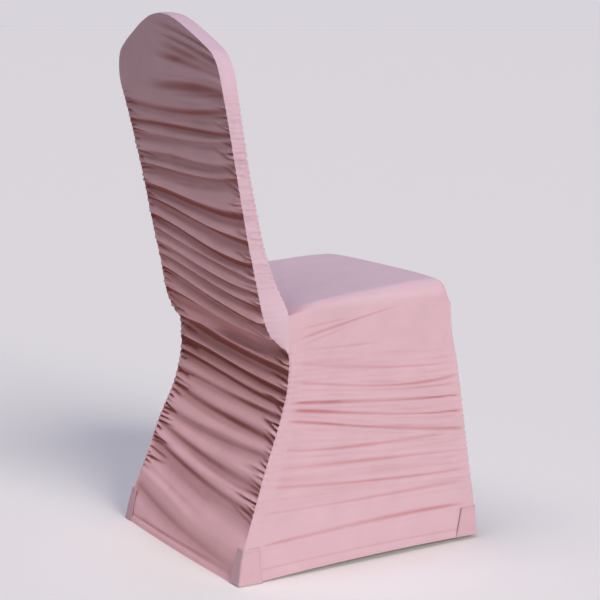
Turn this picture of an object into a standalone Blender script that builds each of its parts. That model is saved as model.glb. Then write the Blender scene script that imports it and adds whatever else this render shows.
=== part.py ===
"""Ruched stretch cover for a banquet chair, hollow, as it hangs on the chair.

Metres, +Z up. The hem lies at height zero, the cover faces -Y and its back panel faces +Y.
Every sewn panel is one closed sheet that meets its neighbours edge to edge along shared seam lines.
"""
from collections import namedtuple

import bpy
import numpy as np

# Cloth and seams
CLOTH = 0.0024
SEAM_INSET = 0.00026
POCKET_CLOTH = 0.0018
POCKET_CLEARANCE = 0.0005

# Whole cover
SKIRT_TOP = 0.447
SEAT_HALF_WIDTH = 0.200
WAIST_Y = 0.128
GUSSET_TIP = 0.380
SHOULDER_START = 0.800
FRONT_EDGE_HEIGHT = 0.440
SEAT_EDGE_ARCH = 0.0135
SEAT_EDGE_ZONE = 0.110
HEM_ZONE = 0.060
REAR_HEM_DROP = 0.006
HEM_ARCH = 0.005

# Rows of facets up the back panel, and the gathers that ride on them
MAIN_ROWS = 110
CROWN_ROWS = 12
INNER_ROWS = 26
SKIRT_ROWS = 28
SEAM_OFFSETS = (0.0, 0.005, 0.014, 0.030, 0.062, 0.102, 0.146)
PANEL_HALF_WIDTH = 0.190
SEAM_REACH = 0.022
FOLD_FADE = 0.12
GATHER_RELIEF = 0.0016
GATHER_PLACE = 0.008
GATHER_WIDTH = 0.009
SCALLOP_RELIEF = 0.0016
BAND_RELIEF = 0.0012
BAND_SWELL = 0.0006
BAND_CENTRE = (0.0, 0.2, 0.62)
BAND_LOW_MARGIN = 0.012
BAND_RUCHE_MARGIN = 0.010
BAND_RUCHE_RISE = 0.020
SIDE_TOP_MARGIN = 0.006
PROFILE_STEP = 0.004

# Gathers start above the hem, stop below the crown, and pull harder below the waist
GATHER_FROM = 0.075
GATHER_TO = 0.835
GATHER_RISE = 0.050
GATHER_BACKREST_SHARE = 0.62
WAIST_HEIGHT = 0.450
WAIST_BLEND = 0.080
BAND_SMOOTH_FROM = 0.860
BAND_SMOOTH_BLEND = 0.060
RUCHE_TO = 0.840
INNER_GATHER_TO = 0.830
INNER_GATHER_FALL = 0.040

# Offsets that make each run of gathers uneven in its own way
BACK_GATHERS = 0.7
BAND_GATHERS = 2.1
BAND_EDGE_GATHERS = 0.4
INNER_GATHERS = 1.9
SCALLOP_GATHERS = 1.3

# Back profile by height: how far back the cloth lies, half its width, and how far its middle stands out
Section = namedtuple("Section", "height y half_width bow")
BACK_SECTIONS = (
    Section(0.000, 0.2400, 0.2230, 0.005),
    Section(0.045, 0.2285, 0.2165, 0.003),
    Section(0.108, 0.2050, 0.2085, 0.000),
    Section(0.190, 0.1750, 0.2035, -0.003),
    Section(0.271, 0.1420, 0.1965, -0.005),
    Section(0.330, 0.1290, 0.1975, -0.006),
    Section(0.365, 0.1280, 0.2005, -0.005),
    Section(0.382, 0.1305, 0.2000, -0.003),
    Section(0.396, 0.1430, 0.1905, 0.000),
    Section(0.412, 0.1560, 0.1840, 0.002),
    Section(0.435, 0.1660, 0.1825, 0.003),
    Section(0.500, 0.1800, 0.1800, 0.003),
    Section(0.573, 0.1960, 0.1800, 0.002),
    Section(0.650, 0.2110, 0.1810, 0.001),
    Section(0.760, 0.2340, 0.1870, 0.002),
    Section(0.800, 0.2430, 0.1900, 0.003),
    Section(0.830, 0.2500, 0.1925, 0.003),
    Section(0.880, 0.2570, 0.1780, 0.002),
    Section(0.951, 0.2665, 0.0000, 0.000),
)

# Outline of the crown, from the straight side of the backrest over the shoulder to the apex
Crown = namedtuple("Crown", "half_width height")
CROWN_OUTLINE = (
    Crown(0.1900, 0.8000),
    Crown(0.1918, 0.8320),
    Crown(0.1875, 0.8590),
    Crown(0.1745, 0.8830),
    Crown(0.1500, 0.8990),
    Crown(0.1050, 0.9205),
    Crown(0.0650, 0.9375),
    Crown(0.0300, 0.9475),
    Crown(0.0000, 0.9510),
)
SHOULDER_CORNER = 3

# The band between back and inner back: its width by height, and how far its front edge flares outwards
Band = namedtuple("Band", "height depth flare")
BAND_SECTIONS = (
    Band(0.440, 0.0390, 0.0175),
    Band(0.456, 0.0410, 0.0160),
    Band(0.480, 0.0370, 0.0110),
    Band(0.509, 0.0320, 0.0060),
    Band(0.545, 0.0285, 0.0035),
    Band(0.617, 0.0255, 0.0025),
    Band(0.700, 0.0240, 0.0020),
    Band(0.790, 0.0260, 0.0010),
    Band(0.850, 0.0285, 0.0000),
    Band(0.951, 0.0295, 0.0000),
)

# Seam at a front corner by height: how far forward it lies, and half the cover's width there
Corner = namedtuple("Corner", "height y half_width")
FRONT_CORNER = (
    Corner(0.000, -0.2640, 0.2190),
    Corner(0.055, -0.2615, 0.2165),
    Corner(0.110, -0.2550, 0.2135),
    Corner(0.200, -0.2430, 0.2095),
    Corner(0.290, -0.2310, 0.2060),
    Corner(0.340, -0.2235, 0.2045),
    Corner(0.372, -0.2160, 0.2035),
    Corner(0.400, -0.2125, 0.2025),
    Corner(0.440, -0.2110, 0.2008),
)

# How much higher a fold of the back panel starts at the cover's left (+X) seam than it ends at the right
Drift = namedtuple("Drift", "height drop")
FOLD_DRIFT = (
    Drift(0.000, 0.000),
    Drift(0.050, 0.030),
    Drift(0.135, 0.042),
    Drift(0.200, 0.020),
    Drift(0.260, 0.020),
    Drift(0.330, 0.028),
    Drift(0.366, 0.042),
    Drift(0.455, 0.050),
    Drift(0.560, 0.046),
    Drift(0.650, 0.022),
    Drift(0.720, 0.004),
    Drift(0.800, 0.000),
)

# Valleys between the folds. Starts and ends are heights at the two seams, spans are parts of the width
Fold = namedtuple("Fold", "start end span_from span_to depth half_width")
BACK_FOLDS = (
    Fold(0.8220, 0.8255, 0.50, 1.00, 0.0025, 0.0075),
    Fold(0.7910, 0.7925, 0.00, 1.00, 0.0035, 0.0070),
    Fold(0.7600, 0.7550, 0.00, 1.00, 0.0050, 0.0070),
    Fold(0.7350, 0.7400, 0.00, 1.00, 0.0015, 0.0080),
    Fold(0.7050, 0.7025, 0.00, 1.00, 0.0020, 0.0080),
    Fold(0.6725, 0.6500, 0.00, 0.90, 0.0025, 0.0080),
    Fold(0.6350, 0.6150, 0.00, 1.00, 0.0050, 0.0090),
    Fold(0.6120, 0.5700, 0.00, 1.00, 0.0035, 0.0070),
    Fold(0.5800, 0.5300, 0.00, 1.00, 0.0055, 0.0085),
    Fold(0.5560, 0.5150, 0.00, 0.60, 0.0020, 0.0070),
    Fold(0.5300, 0.4950, 0.00, 1.00, 0.0035, 0.0080),
    Fold(0.4840, 0.4290, 0.00, 1.00, 0.0070, 0.0100),
    Fold(0.4430, 0.3970, 0.00, 1.00, 0.0070, 0.0110),
    Fold(0.3900, 0.3450, 0.00, 1.00, 0.0060, 0.0100),
    Fold(0.3400, 0.3125, 0.00, 1.00, 0.0050, 0.0080),
    Fold(0.3150, 0.2900, 0.00, 1.00, 0.0060, 0.0070),
    Fold(0.2825, 0.2690, 0.00, 1.00, 0.0035, 0.0070),
    Fold(0.2550, 0.2325, 0.00, 1.00, 0.0055, 0.0080),
    Fold(0.2100, 0.2050, 0.00, 1.00, 0.0030, 0.0075),
    Fold(0.1850, 0.1540, 0.00, 1.00, 0.0045, 0.0085),
    Fold(0.1575, 0.1115, 0.00, 1.00, 0.0055, 0.0080),
    Fold(0.1025, 0.0800, 0.00, 0.60, 0.0030, 0.0080),
    Fold(0.0650, 0.0300, 0.00, 0.80, 0.0030, 0.0085),
)

# The same for the two sides, from the rear seam to the front corner
SIDE_FOLDS = (
    Fold(0.3920, 0.4700, 0.06, 0.62, 0.0014, 0.0080),
    Fold(0.3570, 0.3300, 0.04, 0.60, 0.0014, 0.0080),
    Fold(0.3250, 0.3050, 0.04, 1.00, 0.0018, 0.0080),
    Fold(0.2890, 0.2660, 0.04, 1.00, 0.0030, 0.0070),
    Fold(0.2710, 0.2385, 0.04, 1.00, 0.0032, 0.0065),
    Fold(0.2486, 0.2070, 0.04, 1.00, 0.0030, 0.0070),
    Fold(0.2080, 0.1860, 0.02, 0.80, 0.0018, 0.0080),
    Fold(0.1850, 0.1640, 0.04, 1.00, 0.0018, 0.0080),
    Fold(0.1500, 0.1190, 0.02, 1.00, 0.0020, 0.0090),
    Fold(0.1080, 0.1050, 0.02, 0.90, 0.0014, 0.0090),
    Fold(0.0560, 0.0600, 0.10, 0.92, 0.0018, 0.0090),
)

# The same for the front skirt and the inner back, left seam to right seam
SKIRT_FOLDS = (
    Fold(0.3800, 0.3600, 0.00, 1.00, 0.0015, 0.0090),
    Fold(0.3120, 0.3220, 0.00, 1.00, 0.0022, 0.0090),
    Fold(0.2700, 0.2750, 0.00, 1.00, 0.0030, 0.0080),
    Fold(0.2360, 0.2260, 0.00, 1.00, 0.0030, 0.0080),
    Fold(0.1820, 0.1900, 0.00, 1.00, 0.0022, 0.0090),
    Fold(0.1380, 0.1240, 0.00, 1.00, 0.0020, 0.0090),
    Fold(0.0620, 0.0620, 0.08, 0.92, 0.0016, 0.0090),
)
INNER_FOLDS = (
    Fold(0.7900, 0.7850, 0.00, 1.00, 0.0020, 0.0110),
    Fold(0.7450, 0.7520, 0.00, 1.00, 0.0026, 0.0110),
    Fold(0.6960, 0.6900, 0.00, 1.00, 0.0018, 0.0110),
    Fold(0.6480, 0.6560, 0.00, 1.00, 0.0028, 0.0110),
    Fold(0.6080, 0.6000, 0.00, 1.00, 0.0022, 0.0110),
    Fold(0.5640, 0.5700, 0.00, 1.00, 0.0030, 0.0110),
    Fold(0.5240, 0.5180, 0.00, 1.00, 0.0026, 0.0110),
    Fold(0.4860, 0.4860, 0.00, 1.00, 0.0028, 0.0110),
)

# Where the folds of a side meet its front corner, for a height on its rear seam
Slant = namedtuple("Slant", "rear front")
SIDE_SLANT = (
    Slant(0.000, 0.000),
    Slant(0.050, 0.055),
    Slant(0.100, 0.096),
    Slant(0.150, 0.124),
    Slant(0.200, 0.170),
    Slant(0.250, 0.212),
    Slant(0.300, 0.274),
    Slant(0.350, 0.336),
    Slant(0.400, 0.394),
    Slant(0.447, 0.440),
)
SIDE_STATIONS = (0.0, 0.028, 0.085, 0.22, 0.42, 0.63, 0.83, 0.930, 0.965, 0.988, 1.0)
SIDE_FINE_FROM = 0.185
SIDE_FINE_TO = 0.335
SIDE_SINK = 0.004
SIDE_SINK_ZONE = 0.120
SIDE_REAR_REACH = 0.06
SIDE_FRONT_REACH = 0.05

# The seat by station from its rear seam to its front: its height, the roll at its sides and how far its
# front bulges out
Seat = namedtuple("Seat", "station height roll bulge")
SEAT_SECTIONS = (
    Seat(0.000, 0.4490, 0.0020, 0.0000),
    Seat(0.085, 0.4570, 0.0070, 0.0000),
    Seat(0.220, 0.4640, 0.0120, 0.0000),
    Seat(0.420, 0.4700, 0.0170, 0.0000),
    Seat(0.630, 0.4745, 0.0220, 0.0000),
    Seat(0.830, 0.4785, 0.0270, 0.0000),
    Seat(0.930, 0.4785, 0.0280, 0.0010),
    Seat(0.965, 0.4750, 0.0250, 0.0030),
    Seat(0.988, 0.4655, 0.0180, 0.0042),
    Seat(1.000, 0.4400, 0.0100, 0.0000),
)
SEAT_TURN_COLUMNS = 3
SEAT_ROLL_IN = 0.16
SEAT_ROLL_OUT = 0.05
SEAT_CROWN_IN = 0.20
SEAT_CROWN_OUT = 0.06
SEAT_CROWN = 0.007

# Foot pockets, a patch round each foot: height, reach along the side and reach along back or front
POCKET_HEIGHT = 0.055
POCKET_SIDE_REACH = (0.045, 0.030)
POCKET_END_REACH = (0.028, 0.016)
POCKET_BOTTOM = 0.0012
POCKET_LEVELS = 5
POCKET_SIDE_STATIONS = (1.0, 0.5, 0.08)
POCKET_END_STATIONS = (0.1, 0.5, 1.0)

# Stations across the front skirt, and the part of its half width over which its folds grow from a seam
SKIRT_STATIONS = (-1.0, -0.96, -0.86, -0.6, 0.0, 0.6, 0.86, 0.96, 1.0)
SKIRT_REACH = 0.1

# Plain colours of the solids, linear, and their finish
Colour = namedtuple("Colour", "red green blue")
BACK_COLOUR = Colour(0.58, 0.38, 0.42)
BAND_COLOUR = Colour(0.69, 0.49, 0.55)
INNER_COLOUR = Colour(0.66, 0.47, 0.53)
SEAT_COLOUR = Colour(0.68, 0.46, 0.51)
SKIRT_COLOUR = Colour(0.67, 0.46, 0.51)
POCKET_COLOUR = Colour(0.73, 0.46, 0.51)
KNIT_ROUGHNESS = 0.85
SHARP_EDGE = 1.0

SIDE_NORMAL = np.array((1.0, 0.0, 0.04))
FRONT_NORMAL = np.array((0.0, -1.0, 0.088))


def unit(vectors):
    """Vectors scaled to length one."""
    vectors = np.asarray(vectors, dtype=float)
    return vectors / np.linalg.norm(vectors, axis=-1, keepdims=True)


def smooth(knots, values, t):
    """A monotone cubic curve through a short table."""
    knots = np.asarray(knots, dtype=float)
    values = np.asarray(values, dtype=float)
    steps = np.diff(knots)
    slopes = np.diff(values) / steps
    product = slopes[:-1] * slopes[1:]
    total = np.where(product > 0.0, slopes[:-1] + slopes[1:], 1.0)
    inner = np.where(product > 0.0, 2.0 * product / total, 0.0)
    tangents = np.concatenate(((slopes[0],), inner, (slopes[-1],)))
    t = np.clip(np.asarray(t, dtype=float), knots[0], knots[-1])
    cell = np.clip(np.searchsorted(knots, t, side="right") - 1, 0, len(knots) - 2)
    h = steps[cell]
    u = (t - knots[cell]) / h
    rise = values[cell + 1] - values[cell]
    return (values[cell] + u * u * (3.0 - 2.0 * u) * rise
            + h * u * (1.0 - u) * ((1.0 - u) * tangents[cell] - u * tangents[cell + 1]))


def column(table, name):
    """One named column of a table."""
    return [getattr(row, name) for row in table]


def section(table, name, height):
    """A named column of a table, read at a height."""
    return smooth(column(table, "height"), column(table, name), height)


def step(t):
    """A soft step from zero to one."""
    t = np.clip(t, 0.0, 1.0)
    return t * t * (3.0 - 2.0 * t)


def uneven(index, seed):
    """A repeatable unevenness between 0.45 and 1 for a row number."""
    return 0.725 + 0.275 * np.sin(index * 2.399 + seed) * np.cos(index * 0.731 + 2.0 * seed)


def columns():
    """Stations across the back from the right seam (-1) to the left seam (+1)."""
    half = [1.0 - offset / PANEL_HALF_WIDTH for offset in SEAM_OFFSETS]
    return np.array([-s for s in half[:-1]] + [0.0] + half[:-1][::-1])


def crown_outline(u):
    """Half width and height of the crown's outline, u from 0 at its start to 1 at the apex."""
    wide = np.array(column(CROWN_OUTLINE, "half_width"))
    high = np.array(column(CROWN_OUTLINE, "height"))
    run = np.concatenate(((0.0,), np.cumsum(np.hypot(np.diff(wide), np.diff(high)))))
    run /= run[-1]
    return smooth(run, wide, u), smooth(run, high, u), run[SHOULDER_CORNER]


def back_normal(height):
    """Outward direction of the back profile at a height."""
    above = section(BACK_SECTIONS, "y", height + PROFILE_STEP)
    below = section(BACK_SECTIONS, "y", height - PROFILE_STEP)
    height = np.asarray(height, dtype=float)
    rise = (above - below) / (2.0 * PROFILE_STEP)
    return unit(np.stack((np.zeros_like(height), np.ones_like(height), -rise), axis=-1))


def fold_relief(folds, along, height):
    """Depth of the valleys at a part of the width (0 to 1) and a height."""
    relief = np.zeros_like(height)
    for fold in folds:
        centre = fold.start + (fold.end - fold.start) * along
        profile = np.exp(-((height - centre) / fold.half_width) ** 2)
        starts = step((along - fold.span_from) / FOLD_FADE + 0.5) if fold.span_from > 0.0 else 1.0
        ends = step((fold.span_to - along) / FOLD_FADE + 0.5) if fold.span_to < 1.0 else 1.0
        relief -= fold.depth * profile * starts * ends
    return relief


def grid_normals(grid, outward):
    """Normals of a grid of points, turned to the side that outward points to."""
    along = np.gradient(grid, axis=0)
    across = np.gradient(grid, axis=1)
    normals = unit(np.cross(along, across))
    sign = np.sign(np.sum(normals * outward, axis=-1, keepdims=True))
    return normals * np.where(sign == 0.0, 1.0, sign)


def mitre(first, second):
    """The way through the cloth at a seam between two faces."""
    first = unit(first)
    second = unit(second)
    return -CLOTH * (first + second) / (1.0 + np.sum(first * second, axis=-1, keepdims=True))


def level(vectors):
    """The same ways through the cloth, laid level for a hem."""
    flat = vectors.copy()
    flat[..., 2] = 0.0
    return flat


def make_material(name, colour):
    """A plain matte stretch-knit material."""
    material = bpy.data.materials.new(name)
    material.use_nodes = True
    shader = material.node_tree.nodes["Principled BSDF"]
    shader.inputs["Base Color"].default_value = (*colour, 1.0)
    shader.inputs["Roughness"].default_value = KNIT_ROUGHNESS
    shader.inputs["Metallic"].default_value = 0.0
    material.diffuse_color = (*colour, 1.0)
    return material


def make_sheet(name, outer, through, colour, seams="lrbt"):
    """One closed sheet from a grid of outer points and the ways through the cloth.

    Seams name the edges that meet another panel: l and r are the first and last column,
    b and t the first and last row. Those edges are drawn in by the seam inset.
    """
    outer = outer.copy()
    edges = {"l": (np.s_[:, 0], np.s_[:, 1]), "r": (np.s_[:, -1], np.s_[:, -2]),
             "b": (np.s_[0], np.s_[1]), "t": (np.s_[-1], np.s_[-2])}
    shift = np.zeros_like(outer)
    for letter in seams:
        edge, inside = edges[letter]
        shift[edge] += SEAM_INSET * unit(outer[inside] - outer[edge])
    outer += shift + (0.0, 0.0, REAR_HEM_DROP)
    inner = outer + through
    rows, cols = outer.shape[:2]
    count = rows * cols
    points = np.concatenate((outer.reshape(-1, 3), inner.reshape(-1, 3)))

    def at(row, col, side=0):
        return side * count + row * cols + col

    faces = []
    for row in range(rows - 1):
        for col in range(cols - 1):
            quad = (at(row, col), at(row, col + 1), at(row + 1, col + 1), at(row + 1, col))
            faces.append(quad)
            faces.append(tuple(point + count for point in reversed(quad)))
    rim = [(0, col) for col in range(cols)] + [(row, cols - 1) for row in range(1, rows)]
    rim += [(rows - 1, col) for col in range(cols - 2, -1, -1)]
    rim += [(row, 0) for row in range(rows - 2, 0, -1)]
    for this, following in zip(rim, rim[1:] + rim[:1]):
        a, b = at(*this), at(*following)
        if points[a][2] <= points[b][2]:
            faces.append((b, a, b + count))
            faces.append((a, a + count, b + count))
        else:
            faces.append((b, a, a + count))
            faces.append((b, a + count, b + count))
    middle = at(rows // 2, cols // 2)
    side_one = points[at(rows // 2, cols // 2 + 1)] - points[middle]
    side_two = points[at(rows // 2 + 1, cols // 2)] - points[middle]
    if np.dot(np.cross(side_one, side_two), points[middle] - points[middle + count]) < 0.0:
        faces = [tuple(reversed(face)) for face in faces]
    mesh = bpy.data.meshes.new(name)
    mesh.from_pydata(points.tolist(), [], faces)
    mesh.validate()
    mesh.shade_smooth()
    mesh.set_sharp_from_angle(angle=SHARP_EDGE)
    mesh.materials.append(make_material(name + "_knit", colour))
    thing = bpy.data.objects.new(name, mesh)
    bpy.context.scene.collection.objects.link(thing)
    return thing


def back_grid():
    """Outer points of the back panel without its relief, hem to crown, right seam to left seam."""
    stations = columns()
    levels = np.linspace(0.0, SHOULDER_START, MAIN_ROWS + 1)
    drop = section(FOLD_DRIFT, "drop", levels)
    height = levels[:, None] + 0.5 * drop[:, None] * stations[None, :]
    width = section(BACK_SECTIONS, "half_width", height)
    main = np.stack((stations * width, height), axis=-1)
    crown = crown_grid(main[-1])
    flat = np.concatenate((main, crown[1:]))
    bow = section(BACK_SECTIONS, "bow", flat[..., 1]) * (1.0 - stations ** 2)
    depth = section(BACK_SECTIONS, "y", flat[..., 1]) + bow
    dropped = flat[..., 1] - REAR_HEM_DROP * hem_share(flat[..., 1])
    grid = np.stack((flat[..., 0], depth, dropped), axis=-1)
    for edge in (0, -1):
        odd = np.arange(1, MAIN_ROWS, 2)
        grid[odd, edge] = 0.5 * (grid[odd - 1, edge] + grid[odd + 1, edge])
    return grid


def crown_grid(lowest):
    """Width and height of the crown's points: a patch between the lowest row and the outline."""
    stations = columns()
    blend = (stations[None, :] + 1.0) / 2.0
    corner = crown_outline(0.0)[2]
    t = np.linspace(0.0, 1.0, CROWN_ROWS + 1)[:, None]
    wide, high, _ = crown_outline(t[:, 0] * corner)
    spread = np.linspace(-1.0, 1.0, len(stations))
    top_wide, top_high, _ = crown_outline(1.0 - np.abs(spread) * (1.0 - corner))
    top = np.stack((np.sign(spread) * top_wide, top_high), axis=-1)
    right = np.stack((-wide, high), axis=-1)
    left = np.stack((wide, high), axis=-1)
    t = t[..., None]
    blend = blend[..., None]
    ruled = (1.0 - t) * lowest[None] + t * top[None]
    sides = (1.0 - blend) * right[:, None] + blend * left[:, None]
    corners = ((1.0 - t) * ((1.0 - blend) * lowest[0] + blend * lowest[-1])
               + t * ((1.0 - blend) * top[0] + blend * top[-1]))
    return ruled + sides - corners


def front_seam_point(point):
    """The band's front edge opposite a point on its back edge."""
    x, y, z = point
    side = np.sign(x) if abs(x) > 1e-9 else 0.0
    if z < SKIRT_TOP:
        return np.array((side * SEAT_HALF_WIDTH, WAIST_Y, z))
    depth = section(BAND_SECTIONS, "depth", z)
    flare = section(BAND_SECTIONS, "flare", z)
    edge_y = section(BACK_SECTIONS, "y", z) - depth
    return np.array((x + side * flare, edge_y, z))


def tip_row(back, edge):
    """The row of the back panel at which the band starts on one side."""
    heights = back[:MAIN_ROWS + 1, edge, 2]
    return 2 * int(round(np.argmin(np.abs(heights[::2] - GUSSET_TIP))))


def band_path(back):
    """Back edge of the band: up the right side, over the crown and down the left side."""
    last = back.shape[0] - 1
    right = [back[row, 0] for row in range(tip_row(back, 0), last + 1)]
    over = [back[last, col] for col in range(1, back.shape[1] - 1)]
    left = [back[row, -1] for row in range(last, tip_row(back, -1) - 1, -1)]
    return np.array(right + over + left)


def gather_strength(height):
    """How strongly the cloth is gathered at a height of the back: none at crown and hem."""
    rise = step((height - GATHER_FROM) / GATHER_RISE) * step((GATHER_TO - height) / GATHER_RISE)
    below_waist = step((WAIST_HEIGHT - height) / WAIST_BLEND)
    return rise * (GATHER_BACKREST_SHARE + (1.0 - GATHER_BACKREST_SHARE) * below_waist)


def seam_scallops(edge_points, directions, seed):
    """Bumps that every second row of gathers pushes out along a seam."""
    index = np.arange(len(edge_points))
    height = edge_points[:, 2]
    size = SCALLOP_RELIEF * uneven(index, seed) * gather_strength(height) * (index % 2)
    return directions * size[:, None]


def back_panel(back):
    """The ruched back panel from hem to crown."""
    normals = grid_normals(back, (0.0, 1.0, 0.0))
    stations = columns()
    along = np.broadcast_to((1.0 - stations[None, :]) / 2.0, back.shape[:2])
    inside = PANEL_HALF_WIDTH * (1.0 - np.abs(stations))
    reach = step(inside / SEAM_REACH)[None, :]
    relief = fold_relief(BACK_FOLDS, along, back[..., 2]) * reach
    rows = np.arange(back.shape[0])[:, None]
    beside_seam = np.exp(-((inside - GATHER_PLACE) / GATHER_WIDTH) ** 2)[None, :] * (inside > 0.0)
    ripple = (rows % 2 - 0.5) * 2.0 * uneven(rows, BACK_GATHERS) * gather_strength(back[..., 2])
    relief = relief + GATHER_RELIEF * ripple * beside_seam
    relief[0] = 0.0
    outer = back + normals * relief[..., None]
    through = -CLOTH * normals
    last = back.shape[0] - 1
    _, band_normal = band_frame(back)
    tips = (tip_row(back, 0), tip_row(back, -1))
    total = len(band_normal)
    for edge, side, tip in ((0, -1.0, tips[0]), (-1, 1.0, tips[1])):
        beside = np.tile(SIDE_NORMAL * (side, 1.0, 1.0), (last + 1, 1))
        run = last + 1 - tip
        beside[tip:] = band_normal[:run] if edge == 0 else band_normal[total - run:][::-1]
        own = back_normal(back[:, edge, 2])
        through[:, edge] = mitre(own, beside)
        out = unit(own + beside)
        bumps = seam_scallops(back[:, edge], out, SCALLOP_GATHERS + edge)
        outer[:, edge] += bumps
    crown = slice(last + 1 - tips[0] - 1, last + 1 - tips[0] + back.shape[1] - 1)
    through[last] = mitre(back_normal(back[last, :, 2]), band_normal[crown])
    through[0] = level(through[0])
    return make_sheet("back_panel", outer, through, BACK_COLOUR, "lrt")


def band_frame(back):
    """Front edge and outward direction of the band at each of its stations."""
    path = band_path(back)
    front = np.array([front_seam_point(point) for point in path])
    run = np.gradient(path, axis=0)
    normals = unit(np.cross(run, front - path))
    sign = np.sign(np.sum(normals * (path - BAND_CENTRE), axis=-1, keepdims=True))
    return front, normals * sign


def back_band(back):
    """The band that turns from the back panel to the inner back, with a gusset at each end."""
    path = band_path(back)
    front, normals = band_frame(back)
    index = np.arange(len(path))
    height = path[:, 2]
    swell = BAND_RELIEF * uneven(index, BAND_GATHERS) * (index % 2)
    swell = BAND_SWELL + swell * step((BAND_SMOOTH_FROM - height) / BAND_SMOOTH_BLEND)
    middle = 0.5 * (path + front) + normals * swell[:, None]
    inner_face = -back_normal(height)
    ruche = BAND_RELIEF * uneven(index, BAND_EDGE_GATHERS) * (index % 2)
    ruche = ruche * step((height - SKIRT_TOP - BAND_RUCHE_MARGIN) / BAND_RUCHE_RISE)
    ruche = ruche * step((RUCHE_TO - height) / GATHER_RISE)
    above = height > SKIRT_TOP - BAND_LOW_MARGIN
    beside_seat = -CLOTH * unit(SIDE_NORMAL * np.stack((np.sign(path[:, 0]), *np.ones((2, len(path)))), -1))
    front_through = np.where(above[:, None], mitre(normals, inner_face), beside_seat)
    front_edge = front + unit(normals + inner_face) * ruche[:, None]
    outer = np.stack((path, middle, front_edge), axis=1)
    through = np.stack((mitre(normals, back_normal(height)), -CLOTH * normals, front_through), axis=1)
    return make_sheet("back_band", outer, through, BAND_COLOUR)


def inner_back(back):
    """The front face of the backrest, from the rear of the seat to the crown."""
    stations = columns()
    heights = np.linspace(SKIRT_TOP, SHOULDER_START, INNER_ROWS + 1)
    rows = []
    for height in heights:
        wide = float(section(BACK_SECTIONS, "half_width", height))
        edge = front_seam_point((wide, 0.0, height + 1e-6))
        rows.append([(station * edge[0], edge[1], height) for station in stations])
    last = back.shape[0] - 1
    for row in range(MAIN_ROWS + 1, last + 1):
        rows.append([front_seam_point(point) for point in back[row]])
    grid = np.array(rows)
    normals = grid_normals(grid, (0.0, -1.0, 0.0))
    along = np.broadcast_to((1.0 - stations[None, :]) / 2.0, grid.shape[:2])
    inside = PANEL_HALF_WIDTH * (1.0 - np.abs(stations))
    reach = step(inside / SEAM_REACH)[None, :]
    relief = fold_relief(INNER_FOLDS, along, grid[..., 2]) * reach
    index = np.arange(len(grid))[:, None]
    beside_seam = np.exp(-((inside - GATHER_PLACE) / GATHER_WIDTH) ** 2)[None, :] * (inside > 0.0)
    ripple = (index % 2 - 0.5) * uneven(index, INNER_GATHERS)
    ripple = ripple * step((INNER_GATHER_TO - grid[..., 2]) / INNER_GATHER_FALL)
    relief = relief + GATHER_RELIEF * ripple * beside_seam * (index > 0)
    relief[-1] = 0.0
    outer = grid + normals * relief[..., None]
    through = -CLOTH * normals
    path = band_path(back)
    _, band_normals = band_frame(back)
    half = len(path) // 2
    for edge, part in ((0, slice(0, half)), (-1, slice(half, None))):
        order = np.argsort(path[part][:, 2])
        near = [np.interp(grid[:, edge, 2], path[part][order, 2], band_normals[part][order, axis])
                for axis in range(3)]
        through[:, edge] = mitre(unit(np.stack(near, axis=-1)), -back_normal(grid[:, edge, 2]))
    start = last - tip_row(back, 0)
    crown = slice(start, start + len(stations))
    through[-1] = mitre(band_normals[crown], -back_normal(grid[-1, :, 2]))
    through[0, 1:-1] = CLOTH * np.array((0.0, 1.0, 0.0))
    through[0] = level(through[0])
    return make_sheet("inner_back", outer, through, INNER_COLOUR)


def front_corner(side, height):
    """A point on the seam at a front corner."""
    x = float(section(FRONT_CORNER, "half_width", height))
    y = float(section(FRONT_CORNER, "y", height))
    return np.array((side * x, y, height))


def hem_share(height):
    """How much of the hem's own shape reaches a height: all at the hem, none above its zone."""
    return step(1.0 - np.asarray(height) / HEM_ZONE)


def side_rows(back, edge):
    """Rear seam points of a side panel from hem to seat, and which of them lie on the back's seam."""
    tip = tip_row(back, edge)
    side = 1.0 if edge == -1 else -1.0
    picked = []
    for row in range(0, MAIN_ROWS):
        point = back[row, edge]
        fine = SIDE_FINE_FROM < point[2] < SIDE_FINE_TO
        if point[2] > SKIRT_TOP - SIDE_TOP_MARGIN or (row % 2 and not fine):
            continue
        sewn = row < tip
        rear = point if sewn else np.array((side * SEAT_HALF_WIDTH, WAIST_Y, point[2]))
        picked.append((rear, sewn))
    picked.append((np.array((side * SEAT_HALF_WIDTH, WAIST_Y, SKIRT_TOP)), False))
    return picked


def side_surface(side, rear, station):
    """A point of a side panel, its relief left out."""
    front_height = float(smooth(column(SIDE_SLANT, "rear"), column(SIDE_SLANT, "front"), rear[2]))
    front = front_corner(side, front_height)
    point = rear + (front - rear) * station
    hollow = 4.0 * station * (1.0 - station)
    sink = SIDE_SINK * step(rear[2] / SIDE_SINK_ZONE) * step((SKIRT_TOP - rear[2]) / SIDE_SINK_ZONE)
    point = point - np.array((side * sink * hollow, 0.0, 0.0))
    top_share = step(1.0 - (SKIRT_TOP - rear[2]) / SEAT_EDGE_ZONE)
    point[2] += (HEM_ARCH * hem_share(point[2]) + SEAT_EDGE_ARCH * top_share) * hollow
    return point


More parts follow.
